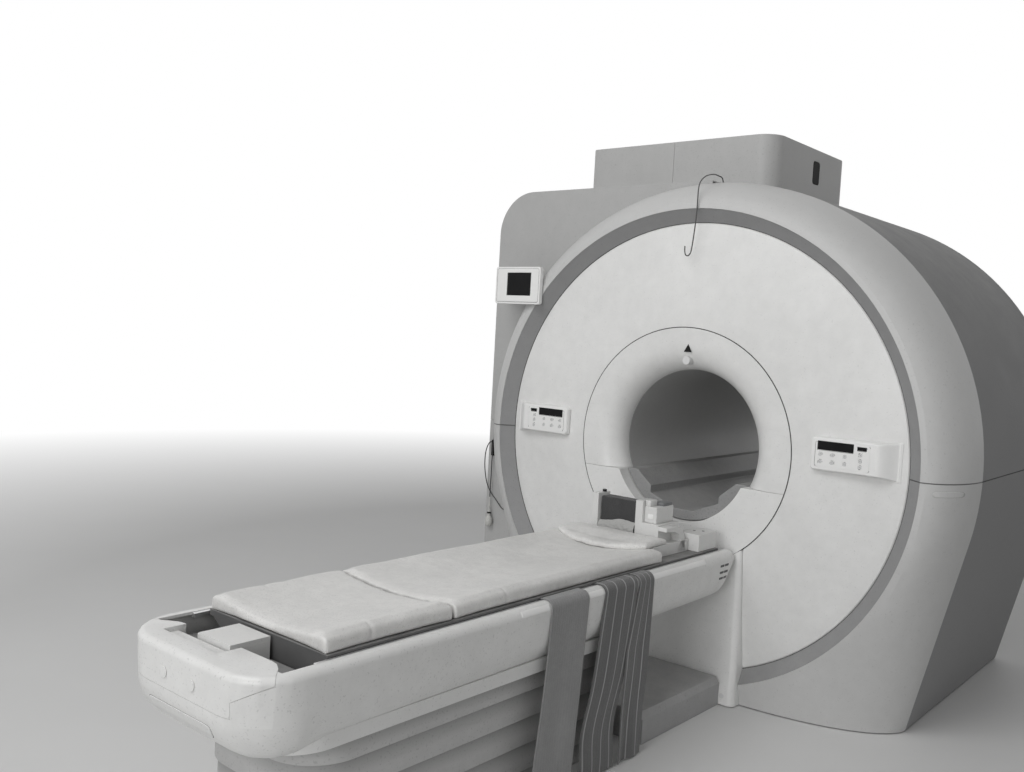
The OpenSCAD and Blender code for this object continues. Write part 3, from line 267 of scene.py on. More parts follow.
class EffectKit:
    """The shader node groups that several finishes share."""

    def __init__(self) -> None:
        """Builds every group once."""
        self.grain = self._group("surface_grain", ("Scale", "Coarse Scale"), ("Height",), self._grain)
        self.mottle = self._group("soft_mottle", ("Scale", "Fine Scale"), ("Mask",), self._mottle)
        self.specks = self._group("fine_specks", ("Scale", "Share"), ("Mask",), self._specks)
        self.dust = self._group("settled_dust", ("Scale", "Amount"), ("Mask",), self._dust)
        self.scuffs = self._group("light_scuffs", ("Scale", "Amount"), ("Mask",), self._scuffs)
        self.webbing = self._group("woven_web", ("Warp", "Weft"), ("Height", "Mask"), self._webbing)

    @staticmethod
    def _group(name: str, inputs: Sequence[str], outputs: Sequence[str], fill: Callable) -> bpy.types.NodeTree:
        """Makes a node group.

        Args:
            name: Name of the group.
            inputs: Names of its number inputs, after the vector.
            outputs: Names of its outputs.
            fill: Adds the nodes between them.

        Returns:
            The group.
        """
        tree = bpy.data.node_groups.new(name, "ShaderNodeTree")
        tree.interface.new_socket("Vector", in_out="INPUT", socket_type="NodeSocketVector")
        for item in inputs:
            tree.interface.new_socket(item, in_out="INPUT", socket_type="NodeSocketFloat")
        for item in outputs:
            tree.interface.new_socket(item, in_out="OUTPUT", socket_type="NodeSocketFloat")
        wires = Wiring(tree)
        fill(wires, wires.node("NodeGroupInput").outputs, wires.node("NodeGroupOutput").inputs)
        return tree

    @staticmethod
    def _grain(wires: Wiring, given: object, wanted: object) -> None:
        """The fine texture of a mould, over a slow waviness.

        Args:
            wires: Adds the nodes to the tree.
            given: The inputs of the group.
            wanted: The outputs of the group.
        """
        fine = wires.noise(given["Vector"], given["Scale"], 2.0)
        slow = wires.noise(given["Vector"], given["Coarse Scale"], 1.0)
        both = wires.math("ADD", wires.math("MULTIPLY", fine, 0.6), wires.math("MULTIPLY", slow, 0.4))
        wires.join(both, wanted["Height"])

    @staticmethod
    def _mottle(wires: Wiring, given: object, wanted: object) -> None:
        """Uneven patches, as on an aged cover.

        Args:
            wires: Adds the nodes to the tree.
            given: The inputs of the group.
            wanted: The outputs of the group.
        """
        broad = wires.noise(given["Vector"], given["Scale"], 4.0, 0.6)
        fine = wires.noise(given["Vector"], given["Fine Scale"], 5.0, 0.7)
        both = wires.math("ADD", wires.math("MULTIPLY", broad, 0.55), wires.math("MULTIPLY", fine, 0.45))
        wires.join(wires.spread(both, 0.36, 0.64), wanted["Mask"])

    @staticmethod
    def _specks(wires: Wiring, given: object, wanted: object) -> None:
        """Small marks, thicker in some places.

        Args:
            wires: Adds the nodes to the tree.
            given: The inputs of the group.
            wanted: The outputs of the group.
        """
        fine = wires.noise(given["Vector"], given["Scale"], 2.0, 0.4)
        where = wires.noise(given["Vector"], 2.3, 3.0)
        limit = wires.math("SUBTRACT", 0.74, wires.math("MULTIPLY", where, given["Share"]))
        wires.join(wires.spread(fine, limit, wires.math("ADD", limit, 0.05)), wanted["Mask"])

    @staticmethod
    def _dust(wires: Wiring, given: object, wanted: object) -> None:
        """Dust on what faces upwards.

        Args:
            wires: Adds the nodes to the tree.
            given: The inputs of the group.
            wanted: The outputs of the group.
        """
        normal = wires.node("ShaderNodeNewGeometry").outputs["Normal"]
        up = wires.spread(wires.part(normal, "Z"), 0.35, 1.0)
        cloud = wires.spread(wires.noise(given["Vector"], given["Scale"], 5.0, 0.65), 0.35, 0.7)
        wires.join(wires.math("MULTIPLY", wires.math("MULTIPLY", up, cloud), given["Amount"]), wanted["Mask"])

    @staticmethod
    def _scuffs(wires: Wiring, given: object, wanted: object) -> None:
        """Short rub marks in two directions.

        Args:
            wires: Adds the nodes to the tree.
            given: The inputs of the group.
            wanted: The outputs of the group.
        """
        marks = []
        for turn, stretch in ((0.35, (1.0, 14.0, 9.0)), (2.1, (12.0, 1.0, 7.0))):
            mapping = wires.node("ShaderNodeMapping")
            wires.join(given["Vector"], mapping.inputs["Vector"])
            mapping.inputs["Rotation"].default_value = (turn, 0.4, turn * 0.5)
            mapping.inputs["Scale"].default_value = stretch
            marks.append(wires.spread(wires.noise(mapping.outputs[0], given["Scale"], 2.0), 0.66, 0.72))
        wires.join(wires.math("MULTIPLY", wires.math("MAXIMUM", *marks), given["Amount"]), wanted["Mask"])

    @staticmethod
    def _webbing(wires: Wiring, given: object, wanted: object) -> None:
        """Warp threads along V that pass over and under the weft.

        Args:
            wires: Adds the nodes to the tree.
            given: The inputs of the group.
            wanted: The outputs of the group.
        """
        warp = wires.math("SINE", wires.math("MULTIPLY", wires.part(given["Vector"], "X"), given["Warp"]))
        weft = wires.math("SINE", wires.math("MULTIPLY", wires.part(given["Vector"], "Y"), given["Weft"]))
        cross = wires.math("MULTIPLY", warp, weft)
        wires.join(wires.spread(cross, -1.0, 1.0), wanted["Height"])
        wires.join(wires.spread(warp, -0.6, 1.0), wanted["Mask"])


KIT = EffectKit()


@dataclass(frozen=True)
class Finish:
    """A surface: its name, colour and gloss."""

    name: str
    colour: Colour
    roughness: float = 0.45

    def material(self) -> bpy.types.Material:
        """Gives the finish's material, and makes it at its first use.

        Returns:
            The material.
        """
        name = "finish_" + self.name
        made = bpy.data.materials.get(name)
        if made is None:
            made = bpy.data.materials.new(name)
            wires = Wiring.fresh(made)
            shader = wires.node("ShaderNodeBsdfPrincipled")
            wires.join(shader.outputs[0], wires.node("ShaderNodeOutputMaterial").inputs["Surface"])
            self.wire(wires, shader)
        return made

    def wire(self, wires: Wiring, shader: bpy.types.Node) -> None:
        """Joins the finish's nodes to its shader."""
        raise NotImplementedError

    @staticmethod
    def _shade(colour: Colour, factor: float) -> tuple[float, float, float, float]:
        """Gives a colour made darker or lighter by a factor."""
        return (min(colour[0] * factor, 1.0), min(colour[1] * factor, 1.0), min(colour[2] * factor, 1.0), 1.0)

    @staticmethod
    def _effect(wires: Wiring, tree: bpy.types.NodeTree, vector: object, **values: object) -> bpy.types.Node:
        """Places a shared group with its own values.

        Args:
            wires: Adds the nodes to the tree.
            tree: The group.
            vector: Where its pattern is read.
            values: Its numbers, with _ for a space in a name.

        Returns:
            The group node.
        """
        new = wires.node("ShaderNodeGroup", node_tree=tree)
        wires.feed(new.inputs["Vector"], vector)
        for name, value in values.items():
            wires.feed(new.inputs[name.replace("_", " ")], value)
        return new

    @classmethod
    def _patches(cls, wires: Wiring, vector: object, broad: float, fine: float) -> bpy.types.NodeSocket:
        """Gives the mask of uneven patches at two scales."""
        return cls._effect(wires, KIT.mottle, vector, Scale=broad, Fine_Scale=fine).outputs["Mask"]

    @staticmethod
    def _relief(wires: Wiring, shader: bpy.types.Node, height: object, distance: float, strength: float = 1.0) -> None:
        """Puts a height on the shader's normal.

        Args:
            wires: Adds the nodes to the tree.
            shader: The shader that gets the normal.
            height: The height.
            distance: How far it stands out, in metres.
            strength: Share of it that shows.
        """
        bump = wires.node("ShaderNodeBump")
        bump.inputs["Distance"].default_value = distance
        bump.inputs["Strength"].default_value = strength
        wires.join(height, bump.inputs["Height"])
        wires.join(bump.outputs[0], shader.inputs["Normal"])


@dataclass(frozen=True)
class Moulding(Finish):
    """A moulded or painted cover with fine grain, age and light dirt.

    A lip height gives painted shade under that lip, and a seam height a fine dark line of painted seam shadow. 0 leaves
    them out.
    """

    mottle: float = 0.05
    dirt: float = 0.35
    scuff: float = 0.25
    grain: float = 0.25
    coat: float = 0.12
    lip: float = 0.0
    seam: float = 0.0
    gloss: float = 0.5

    def wire(self, wires: Wiring, shader: bpy.types.Node) -> None:
        """Joins the finish's nodes to its shader.

        Args:
            wires: Adds the nodes to the tree.
            shader: The shader that they end in.
        """
        at = wires.place()
        patches = self._patches(wires, at, 2.6, 21.0)
        marks = self._effect(wires, KIT.specks, at, Scale=150.0, Share=self.dirt * 0.4).outputs["Mask"]
        rubs = self._effect(wires, KIT.scuffs, at, Scale=7.0, Amount=self.scuff).outputs["Mask"]
        dust = self._effect(wires, KIT.dust, at, Scale=9.0, Amount=0.3).outputs["Mask"]
        dark, light = self._shade(self.colour, 1.0 - self.mottle), self._shade(self.colour, 1.0 + self.mottle * 0.35)
        colour = wires.blend(patches, dark, light)
        colour = wires.blend(wires.math("MULTIPLY", marks, self.dirt), colour, self._shade(self.colour, 0.62))
        colour = wires.blend(wires.math("MULTIPLY", rubs, 0.35), colour, self._shade(self.colour, 0.8))
        colour = wires.blend(dust, colour, self._shade((0.62, 0.61, 0.59), 1.0))
        # Painted shade: darkens the band just under a lip, where the section above overhangs.
        if self.lip > 0:
            uneven = wires.math("ADD", wires.part(at, "Z"), wires.math("MULTIPLY", patches, 0.012))
            lip_shade = wires.spread(uneven, self.lip - 0.045, self.lip + 0.008, 0.0, 0.62)
            colour = wires.blend(lip_shade, colour, self._shade(self.colour, 0.30))
        # Painted shadow: a fine dark line at the seam height, where the upper and lower covers meet.
        if self.seam > 0:
            away = wires.math("ABSOLUTE", wires.math("SUBTRACT", wires.part(at, "Z"), self.seam))
            seam_shadow = wires.spread(away, 0.0014, 0.0030, 0.85, 0.0)
            colour = wires.blend(seam_shadow, colour, self._shade(self.colour, 0.12))
        wires.join(colour, shader.inputs["Base Color"])
        rough = wires.spread(patches, 0.0, 1.0, self.roughness * 0.88, self.roughness * 1.12)
        wires.join(wires.math("ADD", rough, wires.math("MULTIPLY", dust, 0.25)), shader.inputs["Roughness"])
        shader.inputs["Specular IOR Level"].default_value = self.gloss
        shader.inputs["Coat Weight"].default_value = self.coat
        shader.inputs["Coat Roughness"].default_value = 0.22
        height = self._effect(wires, KIT.grain, at, Scale=900.0, Coarse_Scale=12.0).outputs["Height"]
        self._relief(wires, shader, height, 0.0006, self.grain)


@dataclass(frozen=True)
class Metal(Finish):
    """Bare metal with drawn or ground lines."""

    along: Grain = Grain.ALONG_Y

    def wire(self, wires: Wiring, shader: bpy.types.Node) -> None:
        """Joins the finish's nodes to its shader.

        Args:
            wires: Adds the nodes to the tree.
            shader: The shader that they end in.
        """
        at = wires.place()
        mapping = wires.node("ShaderNodeMapping")
        wires.join(at, mapping.inputs["Vector"])
        scale = [420.0, 420.0, 420.0]
        scale[self.along.value] = 4.0
        mapping.inputs["Scale"].default_value = scale
        lines = wires.noise(mapping.outputs[0], 1.0, 3.0, 0.6)
        patches = self._patches(wires, at, 6.0, 40.0)
        colour = wires.blend(lines, self._shade(self.colour, 0.85), self._shade(self.colour, 1.08))
        worn = wires.math("MULTIPLY", patches, 0.3)
        wires.join(wires.blend(worn, colour, self._shade(self.colour, 0.78)), shader.inputs["Base Color"])
        rough = wires.spread(lines, 0.3, 0.7, self.roughness * 0.75, self.roughness * 1.3)
        wires.join(rough, shader.inputs["Roughness"])
        shader.inputs["Metallic"].default_value = 1.0
        self._relief(wires, shader, lines, 0.0002, 0.35)


@dataclass(frozen=True)
class Vinyl(Finish):
    """Soft vinyl over foam, with a pebbled skin, creases and grey wear."""

    wear: float = 0.35

    def wire(self, wires: Wiring, shader: bpy.types.Node) -> None:
        """Joins the finish's nodes to its shader.

        Args:
            wires: Adds the nodes to the tree.
            shader: The shader that they end in.
        """
        at = wires.place()
        pebble = wires.node("ShaderNodeTexVoronoi", feature="F1")
        wires.join(at, pebble.inputs["Vector"])
        pebble.inputs["Scale"].default_value = 520.0
        patches = self._patches(wires, at, 5.0, 33.0)
        marks = self._effect(wires, KIT.specks, at, Scale=210.0, Share=0.24).outputs["Mask"]
        rubs = self._effect(wires, KIT.scuffs, at, Scale=16.0, Amount=0.8).outputs["Mask"]
        colour = wires.blend(patches, self._shade(self.colour, 0.88), self._shade(self.colour, 1.06))
        colour = wires.blend(wires.math("MULTIPLY", marks, self.wear), colour, self._shade(self.colour, 0.6))
        colour = wires.blend(wires.math("MULTIPLY", rubs, self.wear), colour, self._shade(self.colour, 0.74))
        wires.join(colour, shader.inputs["Base Color"])
        rough = wires.spread(patches, 0.0, 1.0, self.roughness * 0.85, self.roughness * 1.15)
        wires.join(rough, shader.inputs["Roughness"])
        folds = wires.math("MULTIPLY", wires.noise(at, 26.0, 3.0, 0.5), 1.4)
        height = wires.math("ADD", wires.math("MULTIPLY", pebble.outputs["Distance"], 0.25), folds)
        self._relief(wires, shader, height, 0.0022, 0.5)


@dataclass(frozen=True)
class Foam(Finish):
    """Open-cell foam."""

    cells: float = 420.0

    def wire(self, wires: Wiring, shader: bpy.types.Node) -> None:
        """Joins the finish's nodes to its shader.

        Args:
            wires: Adds the nodes to the tree.
            shader: The shader that they end in.
        """
        at = wires.place()
        cells = wires.node("ShaderNodeTexVoronoi", feature="F1")
        wires.join(at, cells.inputs["Vector"])
        cells.inputs["Scale"].default_value = self.cells
        patches = self._patches(wires, at, 14.0, 70.0)
        colour = wires.blend(patches, self._shade(self.colour, 0.75), self._shade(self.colour, 1.3))
        colour = wires.blend(cells.outputs["Distance"], self._shade(self.colour, 0.5), colour)
        wires.join(colour, shader.inputs["Base Color"])
        wires.join(wires.spread(patches, 0.0, 1.0, self.roughness * 0.95, 1.0), shader.inputs["Roughness"])
        shader.inputs["Sheen Weight"].default_value = 0.2
        self._relief(wires, shader, cells.outputs["Distance"], 0.0012, 0.8)


@dataclass(frozen=True)
class Webbing(Finish):
    """Woven strap cloth on the piece's own UV map, in metres."""

    weave: Weave = Weave.PLAIN
    stripe: float = 0.031

    def wire(self, wires: Wiring, shader: bpy.types.Node) -> None:
        """Joins the finish's nodes to its shader.

        Args:
            wires: Adds the nodes to the tree.
            shader: The shader that they end in.
        """
        across = wires.node("ShaderNodeUVMap", uv_map="cloth").outputs[0]
        web = self._effect(wires, KIT.webbing, across, Warp=2 * math.pi / 0.0022, Weft=2 * math.pi / 0.0030)
        patches = self._patches(wires, wires.place(), 8.0, 60.0)
        sideways = wires.part(across, "X")
        base = wires.blend(patches, self._shade(self.colour, 0.84), self._shade(self.colour, 1.14))
        if self.weave is Weave.STRIPED:
            wave = wires.math("SINE", wires.math("MULTIPLY", sideways, 2 * math.pi / self.stripe))
            fine = wires.math("SINE", wires.math("MULTIPLY", sideways, 6 * math.pi / self.stripe))
            base = wires.blend(wires.spread(fine, 0.6, 0.9, 0.0, 0.16), base, self._shade(self.colour, 0.45))
            base = wires.blend(wires.spread(wave, 0.93, 0.97, 0.0, 0.9), base, self._shade(self.colour, 3.4))
        else:
            rib = wires.math("SINE", wires.math("MULTIPLY", sideways, 2 * math.pi / 0.012))
            base = wires.blend(wires.spread(rib, 0.2, 1.0, 0.0, 0.22), base, self._shade(self.colour, 1.35))
        threads = wires.math("MULTIPLY", web.outputs["Mask"], 0.3)
        wires.join(wires.blend(threads, base, self._shade(self.colour, 0.55)), shader.inputs["Base Color"])
        wires.join(wires.spread(patches, 0.0, 1.0, self.roughness * 0.95, 1.0), shader.inputs["Roughness"])
        shader.inputs["Sheen Weight"].default_value = 0.3
        shader.inputs["Sheen Roughness"].default_value = 0.5
        self._relief(wires, shader, web.outputs["Height"], 0.0005, 0.8)


@dataclass(frozen=True)
class Rubber(Finish):
    """Soft rubber or cord sheath with a dull bloom."""

    def wire(self, wires: Wiring, shader: bpy.types.Node) -> None:
        """Joins the finish's nodes to its shader.

        Args:
            wires: Adds the nodes to the tree.
            shader: The shader that they end in.
        """
        at = wires.place()
        bloom = self._patches(wires, at, 30.0, 160.0)
        colour = wires.blend(bloom, self._shade(self.colour, 0.82), self._shade(self.colour, 1.25))
        wires.join(colour, shader.inputs["Base Color"])
        rough = wires.spread(bloom, 0.0, 1.0, self.roughness * 0.85, self.roughness * 1.2)
        wires.join(rough, shader.inputs["Roughness"])
        height = self._effect(wires, KIT.grain, at, Scale=700.0, Coarse_Scale=60.0).outputs["Height"]
        self._relief(wires, shader, height, 0.0005, 0.4)


@dataclass(frozen=True)
class Window(Finish):
    """A dark display window with faint smears."""

    def wire(self, wires: Wiring, shader: bpy.types.Node) -> None:
        """Joins the finish's nodes to its shader.

        Args:
            wires: Adds the nodes to the tree.
            shader: The shader that they end in.
        """
        at = wires.place()
        smears = self._patches(wires, at, 18.0, 90.0)
        colour = wires.blend(smears, self._shade(self.colour, 0.7), self._shade(self.colour, 1.5))
        wires.join(colour, shader.inputs["Base Color"])
        wires.join(wires.spread(smears, 0.0, 1.0, self.roughness, self.roughness + 0.1), shader.inputs["Roughness"])
        shader.inputs["Specular IOR Level"].default_value = 0.12
        shader.inputs["Coat Weight"].default_value = 0.04
        shader.inputs["Coat Roughness"].default_value = 0.12
        height = self._effect(wires, KIT.grain, at, Scale=300.0, Coarse_Scale=20.0).outputs["Height"]
        self._relief(wires, shader, height, 0.0002, 0.05)


@dataclass(frozen=True)
class Winding(Finish):
    """Turns of conductor potted in resin."""

    pitch: float = 0.02

    def wire(self, wires: Wiring, shader: bpy.types.Node) -> None:
        """Joins the finish's nodes to its shader.

        Args:
            wires: Adds the nodes to the tree.
            shader: The shader that they end in.
        """
        at = wires.place()
        turns = wires.node("ShaderNodeTexWave", wave_type="BANDS", bands_direction="Y")
        wires.join(at, turns.inputs["Vector"])
        turns.inputs["Scale"].default_value = 0.314 / self.pitch
        turns.inputs["Distortion"].default_value = 0.6
        patches = self._patches(wires, at, 7.0, 45.0)
        resin = wires.blend(patches, self._shade(self.colour, 0.8), self._shade(self.colour, 1.15))
        colour = wires.blend(turns.outputs["Fac"], self._shade(self.colour, 0.55), resin)
        wires.join(colour, shader.inputs["Base Color"])
        rough = wires.spread(patches, 0.0, 1.0, self.roughness * 0.8, self.roughness * 1.2)
        wires.join(rough, shader.inputs["Roughness"])
        self._relief(wires, shader, turns.outputs["Fac"], 0.002, 0.5)


@dataclass(frozen=True)
class Palette:
    """Every finish of the scanner."""

    cover: Finish = Moulding("white_cover", (0.60, 0.60, 0.595), 0.42)
    # The ring, side and groove finishes get a painted seam shadow at height 0.980.
    ring: Finish = Moulding("ring_cover", (0.56, 0.56, 0.555), 0.5, coat=0.05, seam=0.980)
    disc: Finish = Moulding("disc_cover", (0.78, 0.78, 0.77), 0.40, mottle=0.07, dirt=0.3)
    panel: Finish = Moulding("panel_white", (0.44, 0.44, 0.436), 0.5, mottle=0.05, coat=0.05, gloss=0.35)
    housing: Finish = Moulding("housing_grey", (0.46, 0.46, 0.455), 0.5, mottle=0.06)
    # The side covers' light grey is darkened, partly as painted shade on the side turned away from the lamps.
    side: Finish = Moulding("side_grey", (0.28, 0.28, 0.282), 0.7, mottle=0.06, coat=0.0, seam=0.980, gloss=0.2)
    fascia: Finish = Moulding("fascia_white", (0.80, 0.80, 0.79), 0.45)
    groove: Finish = Moulding("groove_grey", (0.29, 0.29, 0.292), 0.6, mottle=0.08, coat=0.0, seam=0.980)
    liner: Finish = Moulding("bore_liner", (0.44, 0.44, 0.436), 0.5, mottle=0.05)
    bridge: Finish = Moulding("bore_bridge_grey", (0.30, 0.30, 0.30), 0.5, mottle=0.1, dirt=0.5, scuff=0.8)
    coil_resin: Finish = Winding("coil_resin", (0.42, 0.27, 0.14), 0.4, 0.025)
    gradient: Finish = Winding("gradient_resin", (0.09, 0.09, 0.10), 0.45, 0.018)
    vessel: Finish = Metal("vessel_steel", (0.52, 0.53, 0.54), 0.38, Grain.ALONG_Y)
    frame_paint: Finish = Moulding("painted_steel", (0.16, 0.165, 0.17), 0.5, dirt=0.5)
    tray: Finish = Moulding("tray_grey", (0.22, 0.22, 0.22), 0.5, mottle=0.12, dirt=0.6, scuff=0.8)
    tube: Finish = Metal("tube_steel", (0.50, 0.51, 0.52), 0.3, Grain.ALONG_Z)
    rail: Finish = Metal("rail_steel", (0.72, 0.72, 0.72), 0.34, Grain.ALONG_Y)
    wire: Finish = Metal("hook_wire", (0.09, 0.09, 0.09), 0.42, Grain.ALONG_Z)
    skirt: Finish = Moulding("skirt_white", (0.50, 0.50, 0.495), 0.5, mottle=0.1, dirt=0.5, scuff=0.6)
    pan: Finish = Moulding("pan_white", (0.72, 0.72, 0.71), 0.4, mottle=0.05)
    couch: Finish = Moulding("couch_white", (0.74, 0.74, 0.73), 0.4, mottle=0.08, dirt=0.45, scuff=0.6)
    base: Finish = Moulding("base_grey", (0.37, 0.37, 0.372), 0.5, mottle=0.12, dirt=0.5, scuff=0.7)
    key: Finish = Moulding("key_grey", (0.70, 0.70, 0.70), 0.5, mottle=0.04, dirt=0.1)
    line: Finish = Moulding("line_grey", (0.10, 0.10, 0.10), 0.6, mottle=0.1, dirt=0.1)
    strip: Finish = Moulding("strip_white", (0.86, 0.86, 0.85), 0.35, mottle=0.03, dirt=0.15)
    black: Finish = Moulding("black_plastic", (0.018, 0.018, 0.018), 0.6, mottle=0.3, dirt=0.2, coat=0.0, gloss=0.1)
    window: Finish = Window("display_glass", (0.006, 0.006, 0.0065), 0.42)
    cord: Finish = Rubber("cord_rubber", (0.022, 0.022, 0.022), 0.55)
    bulb: Finish = Rubber("bulb_rubber", (0.50, 0.50, 0.48), 0.6)
    # Painted seam shadow: the dark rings in the seams round the mouth and the disc.
    seam_shade: Finish = Rubber("seam_shade_dark", (0.03, 0.03, 0.03), 0.7)
    strap: Finish = Webbing("strap_web", (0.26, 0.26, 0.26), 0.85, Weave.PLAIN)
    strap_striped: Finish = Webbing("strap_web_striped", (0.12, 0.12, 0.12), 0.85, Weave.STRIPED, 0.052)
    strap_narrow: Finish = Webbing("strap_web_narrow", (0.13, 0.13, 0.13), 0.85, Weave.STRIPED, 0.046)
    composite: Finish = Moulding("table_composite", (0.10, 0.10, 0.10), 0.55, mottle=0.15, dirt=0.3, scuff=0.6)
    vinyl: Finish = Vinyl("pad_vinyl", (0.72, 0.715, 0.70), 0.5)
    foam: Finish = Foam("pad_foam", (0.06, 0.06, 0.061), 0.9)
    cloth: Finish = Vinyl("wrap_cloth", (0.42, 0.42, 0.41), 0.8)
    coil: Finish = Moulding("coil_white", (0.70, 0.70, 0.69), 0.38, dirt=0.3)


PAINT = Palette()


# Making pieces


class Shop:
    """Makes finished pieces from meshes."""

    @staticmethod
    def piece(
        name: str, form: bmesh.types.BMesh, finish: Finish, body: str, *, sharp: float = 32.0,
    ) -> bpy.types.Object:
        """Turns a bmesh into a piece that rides on a body.

        Args:
            name: Name of the piece.
            form: The mesh, which is freed.
            finish: What it is made of.
            body: The body that it moves with.
            sharp: Angle in degrees above which an edge stays sharp.

        Returns:
            The piece.
        """
        mesh = bpy.data.meshes.new(name)
        form.to_mesh(mesh)
        form.free()
        mesh.materials.clear()
        mesh.materials.append(finish.material())
        mesh.shade_smooth()
        mesh.set_sharp_from_angle(angle=math.radians(sharp))
        made = placed(name, mesh)
        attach(made, body)
        log.info("%s: %d vertices on %s", name, len(mesh.vertices), body)
        return made

    @staticmethod
    def soften(piece: bpy.types.Object, width: float, segments: int = 3, angle: float = 34.0) -> bpy.types.Object:
        """Rounds the edges of a piece with a bevel.

        Args:
            piece: The piece.
            width: Width of the bevel.
            segments: Steps across it.
            angle: Angle in degrees above which an edge gets one.

        Returns:
            The piece.
        """
        bevel = piece.modifiers.new("edges", "BEVEL")
        bevel.width = width
        bevel.segments = segments
        bevel.profile = 0.5
        bevel.limit_method = "ANGLE"
        bevel.angle_limit = math.radians(angle)
        bevel.use_clamp_overlap = True
        bevel.harden_normals = True
        bevel.miter_outer = "MITER_ARC"
        return piece

    @staticmethod
    def thicken(piece: bpy.types.Object, amount: float, offset: float = 0.0) -> None:
        """Gives a sheet its thickness, inwards at an offset of -1 and to both sides at 0.

        Args:
            piece: The sheet.
            amount: Its thickness.
            offset: -1 for a wall inwards, 0 for half to each side.
        """
        wall = piece.modifiers.new("thickness", "SOLIDIFY")
        wall.thickness = amount
        wall.offset = offset

    @staticmethod
    def smoothen(piece: bpy.types.Object) -> None:
        """Adds one level of subdivision."""
        smooth = piece.modifiers.new("smooth", "SUBSURF")
        smooth.levels = smooth.render_levels = 1

    @staticmethod
    def merged(node: str, flat: bool = True) -> bmesh.types.BMesh:
        """Gives a copy of a CAD node's mesh with its loose triangles merged.

        Args:
            node: The CAD node.
            flat: Whether flat areas become one face each. A turned wall keeps small faces instead.

        Returns:
            The mesh.
        """
        form = bmesh.new()
        form.from_mesh(frame["nodes"][node].data)
        bmesh.ops.remove_doubles(form, verts=form.verts, dist=2e-5)
        if flat:
            bmesh.ops.dissolve_limit(
                form, angle_limit=math.radians(0.4), use_dissolve_boundaries=False, verts=form.verts, edges=form.edges,
                delimit={"NORMAL"},
            )
        else:
            bmesh.ops.join_triangles(
                form, faces=form.faces, angle_face_threshold=math.radians(0.6), angle_shape_threshold=math.radians(150),
            )
        return form

    @staticmethod
    def surface(node: str) -> BVHTree:
        """Gives a CAD node's surface as a tree that rays can be cast on."""
        mesh = frame["nodes"][node].data
        return BVHTree.FromPolygons([v.co for v in mesh.vertices], [tuple(f.vertices) for f in mesh.polygons])

    @staticmethod
    def block(low: Point, high: Point, radius: float = 0.0, segments: int = 3) -> bmesh.types.BMesh:
        """Makes a block between two corners, with rounded edges.

        Args:
            low: Lowest corner.
            high: Highest corner.
            radius: Radius of every edge.
            segments: Steps round an edge.

        Returns:
            The mesh.
        """
        form = bmesh.new()
        middle = (Vector(low) + Vector(high)) / 2
        size = Vector(high) - Vector(low)
        bmesh.ops.create_cube(form, size=1.0, matrix=Matrix.Translation(middle) @ Matrix.Diagonal((*size, 1.0)))
        if radius > 0:
            bmesh.ops.bevel(
                form, geom=form.edges[:], offset=radius, offset_type="OFFSET", affect="EDGES", segments=segments,
                profile=0.5, material=-1, clamp_overlap=True,
            )
        return form

    @staticmethod
    def turned(
        profile: Sequence[tuple[float, float]], centre: Point, axis: Point, steps: int = 96,
    ) -> bmesh.types.BMesh:
        """Spins a profile of radius and height about an axis through a point.

        Args:
            profile: Radius and distance along the axis, from one end to the other.
            centre: Where the distances start.
            axis: Direction of the axis.
            steps: Facets round the axis.

        Returns:
            The mesh, with its normals outwards.
        """
        form = bmesh.new()
        along = Vector(axis).normalized()
        across = along.orthogonal().normalized()
        start = Vector(centre)
        points = [form.verts.new(start + along * h + across * max(r, 1e-6)) for r, h in profile]
        edges = [form.edges.new(pair) for pair in zip(points, points[1:])]
        bmesh.ops.spin(
            form, geom=points + edges, cent=start, axis=along, angle=2 * math.pi, steps=steps, use_merge=True,
            use_duplicate=False,
        )
        bmesh.ops.remove_doubles(form, verts=form.verts, dist=2e-6)
        bmesh.ops.recalc_face_normals(form, faces=form.faces)
        return form

    @staticmethod
    def join(forms: Iterable[bmesh.types.BMesh]) -> bmesh.types.BMesh:
        """Puts several meshes in one, and frees them.

        Args:
            forms: The meshes.

        Returns:
            One mesh with all of them.
        """
        whole = bmesh.new()
        for form in forms:
            mesh = bpy.data.meshes.new("part")
            form.to_mesh(mesh)
            form.free()
            whole.from_mesh(mesh)
            bpy.data.meshes.remove(mesh)
        return whole

    @staticmethod
    def wire(name: str, points: Sequence[Vector], width: float, finish: Finish, body: str) -> bpy.types.Object:
        """Makes a round wire or cord as a curve of one open spline.

        Args:
            name: Name of the piece.
            points: The route.
            width: Its diameter.
            finish: What it is made of.
            body: The body that it moves with.

        Returns:
            The piece.
        """
        curve = bpy.data.curves.new(name, "CURVE")
        curve.dimensions = "3D"
        curve.bevel_depth = width / 2
        curve.bevel_resolution = 4
        curve.use_fill_caps = True
        line = curve.splines.new("POLY")
        line.points.add(len(points) - 1)
        for spot, point in zip(line.points, points):
            spot.co = (*point, 1.0)
        line.use_smooth = True
        curve.materials.append(finish.material())
        made = placed(name, curve)
        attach(made, body)
        log.info("%s: %d points on %s", name, len(points), body)
        return made

    @staticmethod
    def smooth_route(points: Sequence[Point], steps: int) -> list[Vector]:
        """Adds points between the given ones on a smooth curve.

        Args:
            points: The given points.
            steps: Points for each stretch between two of them.

        Returns:
            The points of the curve.
        """
        known = [Vector(p) for p in points]
        last = len(known) - 1
        route = []
        for i in range(last):
            a, b, c, d = known[max(i - 1, 0)], known[i], known[i + 1], known[min(i + 2, last)]
            slope, bend, twist = c - a, 2 * a - 5 * b + 4 * c - d, 3 * b - a - 3 * c + d
            for t in (step / steps for step in range(steps)):
                route.append(0.5 * (2 * b + slope * t + bend * t * t + twist * t * t * t))
        return route + [known[last]]


